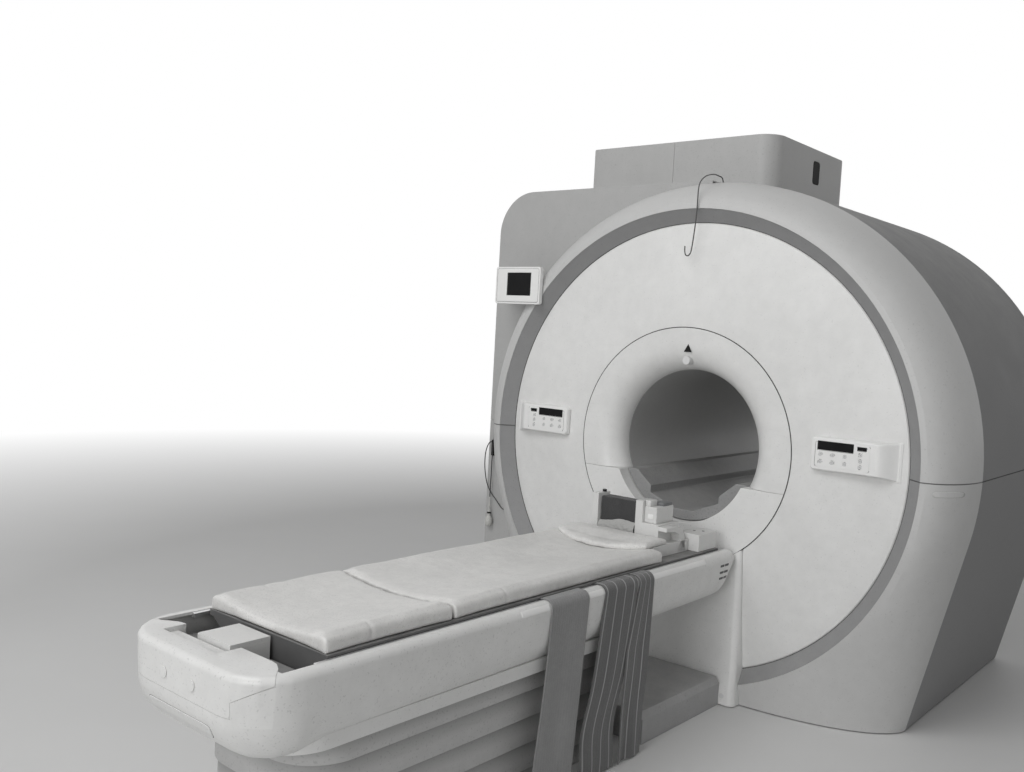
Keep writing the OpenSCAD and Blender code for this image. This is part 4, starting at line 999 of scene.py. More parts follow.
@dataclass(frozen=True)
class Skin:
    """A CAD cover that keeps its shape and gets rounded edges and a finish."""

    node: str
    finish: Finish
    edge: float = 0.0022
    flat: bool = True
    sharp: float = 32.0

    def build(self) -> bpy.types.Object:
        """Makes the cover and puts it in its node's place.

        Returns:
            The cover.
        """
        body = frame["nodes"][self.node]["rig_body"]
        made = Shop.piece(self.node + "_skin", Shop.merged(self.node, self.flat), self.finish, body, sharp=self.sharp)
        if self.edge > 0:
            Shop.soften(made, self.edge)
        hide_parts(self.node)
        return made


@dataclass(frozen=True)
class Plate:
    """A thin plate with rounded corners that lies on the surface of a CAD cover."""

    name: str
    node: str
    centre: Point
    across: Point
    up: Point
    width: float
    height: float
    finish: Finish
    corner: float = 0.004
    thick: float = 0.0008
    step: float = 0.004
    reach: float = 0.08
    sunk: float = 0.0012

    def build(self) -> bpy.types.Object:
        """Casts a grid onto the cover and gives it its thickness.

        Returns:
            The plate.
        """
        u, v = Vector(self.across).normalized(), Vector(self.up).normalized()
        out = u.cross(v)
        tree = Shop.surface(self.node)
        form = bmesh.new()
        counts = [max(10, min(70, round(side / self.step))) for side in (self.width, self.height)]
        bmesh.ops.create_grid(form, x_segments=counts[0], y_segments=counts[1], size=0.5)
        for vert in form.verts:
            x, y = self._rounded(vert.co.x * self.width, vert.co.y * self.height)
            start = Vector(self.centre) + u * x + v * y + out * self.reach
            hit = tree.ray_cast(start, -out, 0.3)[0]
            vert.co = (hit if hit is not None else start - out * self.reach) + out * self.thick
        plate = Shop.piece(self.name, form, self.finish, frame["nodes"][self.node]["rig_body"], sharp=40)
        Shop.thicken(plate, self.thick + self.sunk, -1.0)
        return plate

    def _rounded(self, x: float, y: float) -> tuple[float, float]:
        """Pulls a point of the rectangle in to the rounded corner.

        Args:
            x: Place across, from the plate's middle.
            y: Place upwards, from the plate's middle.

        Returns:
            The place inside the rounded outline.
        """
        flat_x, flat_y = self.width / 2 - self.corner, self.height / 2 - self.corner
        over = Vector((max(abs(x) - flat_x, 0.0), max(abs(y) - flat_y, 0.0)))
        if over.x > 0 and over.y > 0:
            over *= max(over.x, over.y) / over.length
            return math.copysign(flat_x + over.x, x), math.copysign(flat_y + over.y, y)
        return x, y


# Camera, light and floor


@dataclass
class Studio:
    """The camera, the light and the floor."""

    place: Point = (2.05421, -4.24904, 1.42896)
    turn: Point = (1.46419, 0.49299, 0.60529)
    lens: float = 34.186
    sky: float = 0.23

    def camera(self) -> None:
        """Sets the camera where the photograph was taken."""
        data = bpy.data.cameras.new("view")
        data.lens = self.lens
        data.sensor_width = 36.0
        data.sensor_fit = "HORIZONTAL"
        data.clip_end = 100.0
        eye = placed("view", data)
        turn = Vector(self.turn)
        eye.matrix_world = Matrix.Translation(self.place) @ Matrix.Rotation(turn.length, 4, turn.normalized())
        bpy.context.scene.camera = eye

    def light(self) -> None:
        """Lights the object from large soft lamps and a pale sky."""
        self._lamp("ceiling", (-0.6, -5.0, 5.0), (0.0, -1.3, 0.8), 3.6, 2.6, 128.0)
        self._lamp("front", (1.6, -8.0, 2.2), (0.1, -1.0, 0.9), 2.6, 2.0, 100.0)
        self._lamp("right", (5.2, -5.4, 3.0), (0.5, -1.8, 0.5), 2.0, 1.6, 10.0)
        world = bpy.data.worlds.new("sky")
        bpy.context.scene.world = world
        wires = Wiring.fresh(world)
        path = wires.node("ShaderNodeLightPath")
        bounced = wires.math("MAXIMUM", path.outputs["Is Glossy Ray"], path.outputs["Is Transmission Ray"])
        seen = wires.math("MAXIMUM", path.outputs["Is Camera Ray"], bounced)
        back = wires.node("ShaderNodeBackground")
        back.inputs["Color"].default_value = (1.0, 1.0, 1.0, 1.0)
        wires.join(wires.spread(seen, 0.0, 1.0, self.sky, 1.0), back.inputs["Strength"])
        wires.join(back.outputs[0], wires.node("ShaderNodeOutputWorld").inputs["Surface"])
        bpy.context.scene.view_settings.view_transform = "Standard"

    def floor(self) -> None:
        """Lays a pale floor that fades to white far away."""
        form = bmesh.new()
        bmesh.ops.create_circle(form, cap_ends=True, segments=64, radius=40.0)
        mesh = bpy.data.meshes.new("floor")
        form.to_mesh(mesh)
        form.free()
        paint = bpy.data.materials.new("floor_pale")
        wires = Wiring.fresh(paint)
        shader = wires.node("ShaderNodeBsdfPrincipled")
        at = wires.place()
        cloud = wires.noise(at, 1.3, 4.0)
        wires.join(wires.blend(cloud, (0.66, 0.66, 0.655, 1.0), (0.72, 0.72, 0.715, 1.0)), shader.inputs["Base Color"])
        shader.inputs["Roughness"].default_value = 0.6
        length = wires.node("ShaderNodeVectorMath", operation="LENGTH")
        wires.join(at, length.inputs[0])
        far = wires.spread(length.outputs["Value"], 3.6, 9.0)
        path = wires.node("ShaderNodeLightPath")
        glow = wires.node("ShaderNodeEmission")
        mix = wires.node("ShaderNodeMixShader")
        wires.join(wires.math("MULTIPLY", far, path.outputs["Is Camera Ray"]), mix.inputs[0])
        wires.join(shader.outputs[0], mix.inputs[1])
        wires.join(glow.outputs[0], mix.inputs[2])
        wires.join(mix.outputs[0], wires.node("ShaderNodeOutputMaterial").inputs["Surface"])
        mesh.materials.append(paint)
        ground = placed("floor", mesh)

    @staticmethod
    def _lamp(name: str, place: Point, target: Point, width: float, depth: float, power: float) -> None:
        """Adds an area lamp that looks at a point.

        Args:
            name: Name of the lamp.
            place: Where it stands.
            target: Where it points.
            width: Its width.
            depth: Its other side.
            power: Its power in watts.
        """
        data = bpy.data.lights.new(name, "AREA")
        data.shape = "RECTANGLE"
        data.size = width
        data.size_y = depth
        data.energy = power
        aim = (Vector(target) - Vector(place)).to_track_quat("-Z", "Y")
        placed(name, data).matrix_world = Matrix.Translation(place) @ aim.to_matrix().to_4x4()


# The call set and the wire hook


@dataclass
class CallSet:
    """The call bulb, its cord and the clip that holds them."""

    width: float = 0.005
    route_mm: tuple[Point, ...] = (
        (-1097, -631, 861.7), (-1092, -630, 835), (-1081, -628, 793), (-1068, -628, 752), (-1056, -628, 703),
        (-1045, -628, 664), (-1035, -628, 626), (-1026, -628, 594), (-1020, -628, 570), (-1027, -628, 551),
        (-1044, -628, 552), (-1064, -628, 569), (-1089, -628, 592), (-1114, -628, 613), (-1137, -628, 640),
        (-1154, -628, 672), (-1166, -628, 716), (-1172, -628, 760), (-1171, -628, 806), (-1163, -629, 838),
        (-1151, -629, 862), (-1138, -628, 873), (-1129, -627, 866), (-1126, -627, 848), (-1125, -628, 805),
        (-1125, -629, 760), (-1124, -630, 700), (-1124, -631, 640), (-1124, -631, 598),
    )
    bulb_mm: tuple[tuple[float, float], ...] = (
        (0, 0), (5, 0.3), (8, 1), (11.5, 2.8), (14, 5), (16.4, 8.6), (18, 13), (19.2, 18), (19.5, 23), (19.1, 28.5),
        (18, 34), (15.8, 39.4), (13, 44), (10, 48.4), (8, 52), (7.5, 60), (9, 61), (9, 74), (8.4, 75), (6, 75),
        (5, 78), (4, 82), (3.7, 110), (3.5, 146), (0, 146),
    )

    def cord(self) -> None:
        """Lays the cord from the clip, through its loops, to the bulb."""
        route = [p * MM for p in Shop.smooth_route(self.route_mm, 6)]
        bulb = self._bulb(route[-1])
        route += [route[-1] - Vector((0.0, 0.0, step * 0.02)) for step in range(1, 5)]
        line = Shop.wire("call_cord_line", route, self.width, PAINT.cord, "gantry")
        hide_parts("call_cord")

    def _bulb(self, top: Vector) -> bpy.types.Object:
        """Turns the bulb with its collar and stem.

        Args:
            top: Where the cord ends.

        Returns:
            The bulb.
        """
        profile = [(r * MM, h * MM) for r, h in self.bulb_mm]
        foot = (top.x, top.y, top.z - 0.1463)
        bulb = Shop.piece("call_bulb_body", Shop.turned(profile, foot, UPWARD, 48), PAINT.bulb, "gantry", sharp=50)
        collar = ((0.0078, 0.0625), (0.0096, 0.0635), (0.0096, 0.0715), (0.0078, 0.0725))
        Shop.piece("call_bulb_band", Shop.turned(collar, foot, UPWARD, 40), PAINT.black, "gantry", sharp=40)
        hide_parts("call_bulb")
        return bulb

    def clip(self) -> None:
        """Makes the black holder with its screw and strain relief."""
        Skin("call_clip", PAINT.black, 0.0025).build()
        head = ((0.0, 0.0), (0.0045, 0.0), (0.0045, 0.0008), (0.003, 0.0018), (0.0, 0.0022))
        screw = Shop.turned(head, (-1.1165, -0.6200, 0.898), (0, -1, 0), 24)
        Shop.piece("call_clip_screw", screw, PAINT.bulb, "gantry")
        sleeve = ((0.0, 0.0), (0.0042, 0.0), (0.0046, 0.004), (0.0062, 0.022), (0.0066, 0.024), (0.0, 0.024))
        relief = Shop.turned(sleeve, (-1.0968, -0.6309, 0.8605), UPWARD, 24)
        Shop.piece("call_cord_relief", relief, PAINT.cord, "gantry")


@dataclass
class WireHook:
    """The bent wire that hangs over the top of the ring."""

    width: float = 0.005
    route_mm: tuple[Point, ...] = (
        (30, 136, 2096.5), (29, 127, 2113), (27, 104, 2118), (26, 70, 2119), (26, 30, 2112), (26, -10, 2098),
        (26, -44, 2072), (26, -56, 2040), (26, -57, 1980), (24, -57, 1920), (18, -57, 1850), (12, -57, 1800),
        (9, -60, 1782), (2, -64, 1773), (-8, -66, 1776), (-13, -66, 1790), (-14, -66, 1812),
    )

    def build(self) -> None:
        """Bends the wire along its route."""
        shifted = [(x, y - 710, z) for x, y, z in self.route_mm]
        route = [p * MM for p in Shop.smooth_route(shifted, 5)]
        hook = Shop.wire("wire_hook_line", route, self.width, PAINT.wire, "gantry")
        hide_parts("wire_hook")


# Gantry


@dataclass
class Gantry:
    """The covers of the gantry and what is under them."""

    mouth_r: float = 0.489
    disc_r: float = 0.9205
    bore_r: float = 0.315
    wall: float = 0.005
    ends: tuple[float, float] = (-0.6387, 0.6552)
    face_y: float = -0.7435

    def covers(self) -> None:
        """Dresses the large covers."""
        for node, finish, edge, flat in (
            ("front_disc_cover", PAINT.disc, 0.0022, False), ("bore_flare", PAINT.disc, 0.0016, False),
            ("docking_fascia", PAINT.fascia, 0.0016, False), ("groove_band_upper", PAINT.groove, 0.0, False),
            ("groove_band_lower", PAINT.groove, 0.0, False), ("front_ring_upper", PAINT.ring, 0.0016, False),
            ("front_ring_lower_right", PAINT.ring, 0.0016, False), ("front_ring_lower_left", PAINT.ring, 0.0016, False),
            ("side_cover_upper", PAINT.side, 0.0016, True), ("side_cover_lower", PAINT.side, 0.0016, True),
            ("shoulder_upper", PAINT.panel, 0.0016, True), ("shoulder_lower", PAINT.panel, 0.0016, True),
            ("rear_cover_upper", PAINT.panel, 0.0016, False), ("rear_cover_lower", PAINT.panel, 0.0016, False),
            ("rear_flare", PAINT.cover, 0.0016, False), ("top_housing_left", PAINT.housing, 0.0022, True),
            ("top_housing_right", PAINT.housing, 0.0022, True), ("dock_column", PAINT.fascia, 0.0022, True),
        ):
            Skin(node, finish, edge, flat).build()

    def mouth(self) -> None:
        """Puts dark rings of painted seam shadow round the mouth and the disc, lines the bore, and adds the latch,
        bridge and vent.
        """
        self._seam_shade_ring("mouth_seam_shade", self.mouth_r, 0.0021, self.face_y + 0.0012, 180)
        self._seam_shade_ring("disc_seam_shade", self.disc_r, 0.0019, FRONT_Y + 0.0040, 240)
        (front, back), outer = self.ends, self.bore_r + self.wall
        section = ((self.bore_r, front), (self.bore_r, back), (outer, back), (outer, front), (self.bore_r, front))
        tube = Shop.turned(section, (0, 0, AXIS_Z), ALONG, 160)
        liner = Shop.piece("bore_liner_tube", tube, PAINT.liner, "gantry")
        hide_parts("bore_tube")
        for name, finish, grow, thick in (("line", PAINT.groove, 0.0012, 0.0002), ("face", PAINT.cover, 0.0, 0.0010)):
            Plate(
                f"ring_latch_{name}", "front_ring_lower_right", (1.050, -0.70, 0.944), ACROSS, UPWARD,
                0.074 + grow, 0.021 + grow, finish, 0.0105, thick, 0.003,
            ).build()
        Skin("bore_bridge", PAINT.bridge, 0.003).build()
        Skin("housing_vent", PAINT.black, 0.002).build()

    @staticmethod
    def _seam_shade_ring(name: str, radius: float, thick: float, y: float, steps: int) -> None:
        """Runs a dark ring about the axis of the bore, as painted shadow in a seam.

        Args:
            name: Name of the piece.
            radius: Radius of the ring.
            thick: Radius of its section.
            y: Where it lies along the bore.
            steps: Facets round the ring.
        """
        angles = [2 * math.pi * i / 10 for i in range(11)]
        section = [(radius + thick * math.sin(a), thick * math.cos(a)) for a in angles]
        Shop.piece(name, Shop.turned(section, (0, y, AXIS_Z), ALONG, steps), PAINT.seam_shade, "gantry", sharp=80)

    def inside(self) -> None:
        """Gives the parts under the covers their finishes."""
        for node, finish in (
            ("body_coil", PAINT.coil_resin), ("gradient_coil", PAINT.gradient), ("magnet_vessel", PAINT.vessel),
            ("magnet_feet", PAINT.frame_paint), ("cold_head", PAINT.frame_paint), ("base_plate", PAINT.frame_paint),
            ("lift_tube_middle", PAINT.tube), ("lift_tube_upper", PAINT.tube), ("couch_frame", PAINT.tray),
        ):
            mesh = frame["nodes"][node].data
            mesh.materials.clear()
            mesh.materials.append(finish.material())


@dataclass
class Controls:
    """The two control pods and the side display."""

    near: float = 0.573
    far: float = 0.886
    height: float = 1.037
    face_y: float = -0.764
    key_y: float = -0.7652
    half: float = 0.0645
    widen: float = 0.012
    inner: float = 0.005
    outer: float = 0.012
    tail_x: float = 0.812
    tail: float = 0.086
    corner: float = 0.018
    rounding: float = 0.009
    proud: float = 0.0025
    undercut: float = 0.0027
    display: Point = (-0.889, -0.784, 1.642)
    mark: Point = (0.012, -0.7436, 1.3930)
    keys: tuple[tuple[float, float], ...] = (
        (0.611, 1.037), (0.657, 1.037), (0.703, 1.037), (0.611, 1.009), (0.657, 1.009), (0.703, 1.009),
        (0.760, 1.049), (0.760, 1.027), (0.760, 1.005),
    )

    def build(self) -> None:
        """Dresses the pods, the keys, the windows and the side display."""
        self._pods()
        Skin("side_display", PAINT.strip, 0.003).build()
        Skin("screens", PAINT.window, 0.0004).build()
        Skin("pod_keys", PAINT.key, 0.0006).build()
        Skin("cover_plugs", PAINT.key, 0.0015).build()
        for side, name in ((1, "right"), (-1, "left")):
            self._frame(side, name)
        self._marks()

    def _pods(self) -> None:
        """Makes both pods: a rounded block that runs out into the disc at its outer end."""
        tree = Shop.surface("front_disc_cover")
        forms = []
        for side in (1, -1):
            form = bmesh.new()
            bmesh.ops.create_grid(form, x_segments=132, y_segments=52, size=0.5)
            for vert in form.verts:
                u, v = vert.co.x + 0.5, vert.co.y * 2
                u, v = u - 0.035 * math.sin(2 * math.pi * u), math.sin(v * math.pi / 2)
                x = self.near - self.inner + u * (self.far + self.outer - self.near)
                tail = clamp((x - self.tail_x) / self.tail)
                half = self.half + self.widen * tail * tail
                z = self.height - 0.004 * tail + v * half
                spot = tree.ray_cast(Vector((side * x, -1.2, z)), Vector(ALONG))[0]
                skin = spot.y if spot is not None else -0.7150
                flat_u = max(self.corner - (x - self.near + self.inner), 0.0)
                flat_v = max(self.corner - (half - abs(v) * half), 0.0)
                inside = self.corner - math.hypot(flat_u, flat_v)
                crown = math.sqrt(max(0.0, 1.0 - (1.0 - clamp(inside / self.rounding)) ** 2))
                rise = (1.0 - tail * tail * (3 - 2 * tail)) * crown
                under = self.undercut if 0.0 < rise < 0.08 else 0.0
                y = skin + self.proud + (self.face_y - skin - self.proud) * rise - under
                vert.co = Vector((side * x, y, z))
            forms.append(form)
        whole = Shop.join(forms)
        bmesh.ops.recalc_face_normals(whole, faces=whole.faces)
        if sum(face.normal.y * face.calc_area() for face in whole.faces) > 0:
            bmesh.ops.reverse_faces(whole, faces=whole.faces)
        pods = Shop.piece("control_pods_body", whole, PAINT.strip, "gantry", sharp=70)
        Shop.thicken(pods, 0.002, -1.0)
        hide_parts("control_pods")

    def _frame(self, side: int, name: str) -> None:
        """Draws the fine line round the display and the keys of a pod.

        Args:
            side: 1 for the right pod and -1 for the left.
            name: Its word in the names of the pieces.
        """
        middle = (side * 0.6925, self.face_y, self.height)
        for part, width, height, finish, corner, thick in (
            ("line", 0.2064, 0.1024, PAINT.line, 0.014, 0.00016),
            ("field", 0.2040, 0.1000, PAINT.strip, 0.0132, 0.0004),
        ):
            Plate(
                f"pod_{part}_{name}", "control_pods", middle, ACROSS, UPWARD, width, height, finish, corner, thick,
                0.003,
            ).build()

    def _marks(self) -> None:
        """Marks every key with a ring and a dot, the side display with a line and the bore's top with a triangle."""
        rings, dots = [], []
        for side in (1, -1):
            for x, z in self.keys:
                at = (side * x, self.key_y, z)
                rings.append(Shop.turned([(0.0056, 0.0), (0.0060, -0.00022), (0.0064, 0.0)], at, ALONG, 20))
                dots.append(Shop.turned([(0.0, -0.0003), (0.0014, -0.00025), (0.0016, 0.0)], at, ALONG, 10))
        Shop.piece("key_rings", Shop.join(rings), PAINT.groove, "gantry", sharp=60)
        Shop.piece("key_dots", Shop.join(dots), PAINT.groove, "gantry", sharp=60)
        for name, width, height, finish, corner, thick in (
            ("display_line", 0.252, 0.156, PAINT.line, 0.008, 0.00016),
            ("display_field", 0.2495, 0.1535, PAINT.strip, 0.007, 0.0004),
        ):
            Plate(
                name, "side_display", self.display, ACROSS, UPWARD, width, height, finish, corner, thick,
            ).build()
        mark = Shop.turned([(0.0, -0.0008), (0.021, -0.0006), (0.0218, 0.0)], self.mark, ALONG, 3)
        tip = max(mark.verts, key=lambda vert: (vert.co - Vector(self.mark)).length).co
        turn = math.atan2(tip.x - self.mark[0], tip.z - self.mark[2])
        bmesh.ops.rotate(mark, verts=mark.verts, cent=self.mark, matrix=Matrix.Rotation(-turn, 3, "Y"))
        Shop.piece("bore_mark", mark, PAINT.black, "gantry", sharp=30)


# Couch


@dataclass
class Couch:
    """The couch with its pedestal, its foot end and the socket box."""

    skirts: tuple[str, ...] = ("skirt_base", "skirt_section_1", "skirt_section_2", "skirt_section_3", "skirt_section_4")
    lips: tuple[float, ...] = (0.070, 0.159, 0.248, 0.337, 0.405)

    def build(self) -> None:
        """Dresses the couch's covers."""
        for node, finish, edge, flat in (
            ("base_cover", PAINT.base, 0.003, True), ("couch_pan", PAINT.pan, 0.003, True),
            ("couch_shell", PAINT.couch, 0.0014, False), ("foot_cover", PAINT.couch, 0.0014, False),
            ("foot_caps", PAINT.couch, 0.0008, True), ("socket_box", PAINT.coil, 0.0015, True),
            ("socket_lid", PAINT.coil, 0.003, True), ("side_rails", PAINT.rail, 0.0015, True),
        ):
            Skin(node, finish, edge, flat).build()
        # Each skirt section gets painted shade just under the overhang of the section above it.
        for node, lip in zip(self.skirts, self.lips):
            Skin(node, replace(PAINT.skirt, name=node + "_paint", lip=lip), 0.002).build()
        self._strips()
        self._foot_panel()

    def _strips(self) -> None:
        """Lays the bare strips along the shoulder of the shell, and dark plates as painted shade in the three slots
        near its head end.
        """
        for name, middle, length in (("foot", -2.018, 0.135), ("middle", -1.705, 0.085), ("head", -1.190, 0.365)):
            Plate(
                f"strip_{name}", "couch_shell", (0.2965, middle, 0.6035), ALONG, (-0.62, 0.0, 0.78), length, 0.020,
                PAINT.strip, 0.002, 0.00035,
            ).build()
        # Painted shade: flat dark plates stand for the dark inside of the slots.
        for step, z in enumerate((0.571, 0.545, 0.522)):
            for part, y in ((0, -0.880), (1, -0.846)):
                Plate(
                    f"slot_shade_{step}_{part}", "couch_shell", (0.303, y, z), ALONG, UPWARD, 0.030, 0.009, PAINT.line,
                    0.0025, 0.0005, 0.002,
                ).build()

    def _foot_panel(self) -> None:
        """Marks the low panel in the foot face by a dark line round it."""
        for name, finish, grow, thick in (("line", PAINT.line, 0.0025, 0.0003), ("face", PAINT.couch, 0.0, 0.0014)):
            Plate(
                f"foot_panel_{name}", "couch_shell", (-0.010, -3.0, 0.4560), ACROSS, (0, -0.25, 0.97),
                0.272 + grow, 0.036 + grow, finish, 0.013, thick, 0.003,
            ).build()


@dataclass(frozen=True)
class Band:
    """One strap: where it lies, how wide it is and how it hangs."""

    name: str
    start: float
    width: float
    lean: float
    sway: float
    finish: Finish
    seed: float
    flare: float = 0.0


@dataclass
class Straps:
    """Three straps that lie over the edge of the couch and hang to the floor."""

    path_mm: tuple[tuple[float, float], ...] = (
        (258, 620.4), (281, 620.2), (288.7, 619), (297.7, 612.8), (303.8, 603.8), (305.9, 593), (306.6, 560),
        (307, 480), (307.5, 320), (309, 160), (311, 50), (311.5, 6),
    )
    thick: float = 0.0022
    top: float = 0.62
    bands: tuple[Band, ...] = (
        Band("strap_plain", -1.945, 0.190, -0.072, 0.004, PAINT.strap, 1.0),
        Band("strap_striped", -1.665, 0.190, -0.110, 0.030, PAINT.strap_striped, 2.0),
        Band("strap_narrow", -1.465, 0.090, -0.050, 0.008, PAINT.strap_narrow, 3.0, 0.050),
    )

    def build(self) -> None:
        """Hangs the three straps."""
        for band in self.bands:
            self._hang(band)

    def _hang(self, band: Band) -> None:
        """Hangs one strap over the edge and lets it fall in slow folds.

        Args:
            band: The strap.
        """
        route = [p * MM for p in Shop.smooth_route([(x, 0.0, z) for x, z in self.path_mm], 8)]
        rows, columns = len(route), 36
        form = bmesh.new()
        bmesh.ops.create_grid(form, x_segments=columns, y_segments=rows - 1, size=0.5, calc_uvs=True)
        layer = form.loops.layers.uv.verify()
        run = [0.0]
        for a, b in zip(route, route[1:]):
            run.append(run[-1] + (b - a).length)
        places = {}
        for vert in form.verts:
            u, row = vert.co.x + 0.5, min(rows - 1, round((vert.co.y + 0.5) * (rows - 1)))
            places[vert.index] = (u, row)
            here = route[row]
            ahead = (route[min(row + 1, rows - 1)] - route[max(row - 1, 0)]).normalized()
            out = Vector((-ahead.z, 0.0, ahead.x))
            spot = Vector((here.x, band.start + self._across(band, u, here.z), here.z))
            vert.co = spot + out * self._lift(band, u, here.z, run[row])
        for face in form.faces:
            for loop in face.loops:
                u, row = places[loop.vert.index]
                loop[layer].uv = (u * (band.width + band.flare), run[row])
        bmesh.ops.recalc_face_normals(form, faces=form.faces)
        strap = Shop.piece(band.name, form, band.finish, "couch", sharp=180)
        strap.data.uv_layers[0].name = "cloth"
        Shop.thicken(strap, self.thick)
        if band.name == "strap_plain":
            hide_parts("straps")

    def _across(self, band: Band, u: float, z: float) -> float:
        """Gives how far along the couch a point of the strap lies, from the strap's start.

        Args:
            band: The strap.
            u: Share of its width.
            z: Height of the point.

        Returns:
            The distance in metres.
        """
        fall = clamp((self.top - z) / self.top)
        sway = band.sway * math.exp(-(((z - 0.16) / 0.11) ** 2))
        spread = band.flare * clamp((0.60 - z) / 0.22)
        return u * (band.width + spread) - spread + band.lean * fall - sway

    def _lift(self, band: Band, u: float, z: float, run: float) -> float:
        """Gives how far a point of the strap stands off the couch.

        Args:
            band: The strap.
            u: Share of its width.
            z: Height of the point.
            run: Length of strap up to the point.

        Returns:
            The distance in metres.
        """
        free = clamp((0.575 - z) / 0.40)
        fold = math.sin(u * math.pi * (1.1 + 0.45 * band.seed) + band.seed * 2.1 + run * 3.2)
        fold += 0.45 * math.sin(u * math.pi * 3.4 - run * 5.0 + band.seed * 1.7)
        ripple = noise.noise(Vector((u * 3.0, run * 9.0, band.seed * 5.0))) * 0.0012
        return self.thick * 0.75 + free * (0.0045 * (1.45 + fold) + ripple)


# Table, mattress and coil


@dataclass
class Padding:
    """Swells a closed form as foam does under a tight skin."""

    voxel: float = 0.006
    pressure: float = 4.0
    most: float = 0.006
    frames: int = 20

    def swell(self, piece: bpy.types.Object, floor: float) -> None:
        """Remeshes a piece, swells it by cloth simulation and keeps the result.

        Args:
            piece: The pad.
            floor: Height that it may not go below.
        """
        self.remesh(piece, self.voxel)
        rest = [v.co.copy() for v in piece.data.vertices]
        cloth = piece.modifiers.new("swell", "CLOTH")
        cloth.settings.use_pressure = True
        cloth.settings.uniform_pressure_force = self.pressure
        cloth.settings.effector_weights.gravity = 0.0
        cloth.settings.quality = 4
        cloth.collision_settings.use_collision = False
        cloth.point_cache.frame_end = self.frames
        for step in range(1, self.frames + 1):
            bpy.context.scene.frame_set(step)
        self._apply(piece)
        bpy.context.scene.frame_set(1)
        for vert, old in zip(piece.data.vertices, rest):
            move = vert.co - old
            if move.length > self.most:
                vert.co = old + move * (self.most / move.length)
            vert.co.z = max(vert.co.z, floor)

    @classmethod
    def remesh(cls, piece: bpy.types.Object, size: float) -> None:
        """Gives a closed form an even mesh of small faces.

        Args:
            piece: The form.
            size: Size of a face.
        """
        grid = piece.modifiers.new("grid", "REMESH")
        grid.mode = "VOXEL"
        grid.voxel_size = size
        cls._apply(piece)

    @staticmethod
    def _apply(piece: bpy.types.Object) -> None:
        """Makes what the modifiers show the piece's own mesh.

        Args:
            piece: The piece.
        """
        shown = piece.evaluated_get(bpy.context.evaluated_depsgraph_get())
        mesh = bpy.data.meshes.new_from_object(shown)
        old = piece.data
        materials = list(old.materials)
        piece.modifiers.clear()
        piece.data = mesh
        if not mesh.materials:
            for item in materials:
                mesh.materials.append(item)
        bpy.data.meshes.remove(old)


@dataclass
class Table:
    """The tabletop, the two mattress sections and the head cushion."""

    top: float = 0.6253
    cushion_floor: float = 0.6696
    dish_y: float = -1.215
    dish_z: float = 0.6690
    side_x: float = 0.196
    seams: tuple[float, ...] = (-2.61, -2.09)
    padding: Padding = field(default_factory=Padding)

    def build(self) -> None:
        """Dresses the tabletop and pads what lies on it."""
        Skin("tabletop", PAINT.composite, 0.002).build()
        self._pad("mattress_foot", 0.0025, self.top, 0.95)
        self._pad("mattress_main", 0.0025, self.top, 0.95)
        self._pad("head_cushion", 0.002, self.cushion_floor, 0.9)

    def _pad(self, node: str, inset: float, floor: float, fill: float) -> None:
        """Makes one padded piece in the place of its CAD solid.

        Args:
            node: The CAD solid.
            inset: How much smaller it starts.
            floor: Height that it may not go below.
            fill: How tight it is, from 0 to 1. Not used.
        """
        form = Shop.merged(node)
        bmesh.ops.triangulate(form, faces=form.faces)
        for vert in form.verts:
            vert.co -= vert.normal * inset
        pad = Shop.piece(node + "_pad", form, PAINT.vinyl, "table", sharp=180)
        self.padding.swell(pad, floor)
        if node == "head_cushion":
            self._settle(pad)
        self._stitch(pad)
        Shop.smoothen(pad)
        pad.data.shade_smooth()
        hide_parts(node)

    def _settle(self, pad: bpy.types.Object) -> None:
        """Lets the head cushion sink into the dish of the mattress below it.

        Args:
            pad: The cushion.
        """
        tree = Shop.surface("mattress_main")
        for vert in pad.data.vertices:
            reach = clamp((self.dish_y - vert.co.y) / 0.06)
            below = tree.ray_cast(Vector((vert.co.x, min(vert.co.y, -1.232), 0.9)), Vector((0, 0, -1)))[0]
            if below is not None:
                vert.co.z -= reach * max(0.0, self.dish_z - below.z) * 0.8

    def _stitch(self, pad: bpy.types.Object) -> None:
        """Sinks the cross seams, and gives the skin soft unevenness.

        Args:
            pad: The pad.
        """
        for vert in pad.data.vertices:
            at = vert.co
            side = clamp((abs(at.x) - self.side_x) / 0.012)
            groove = side * sum(math.exp(-(((at.y - seam) / 0.0045) ** 2)) for seam in self.seams)
            slack = noise.noise(at * 7.0) * 0.0016 + noise.noise(at * 23.0) * 0.0008
            if vert.normal.z > -0.5:
                vert.co = at - vert.normal * (0.003 * min(groove, 1.0)) + vert.normal * slack


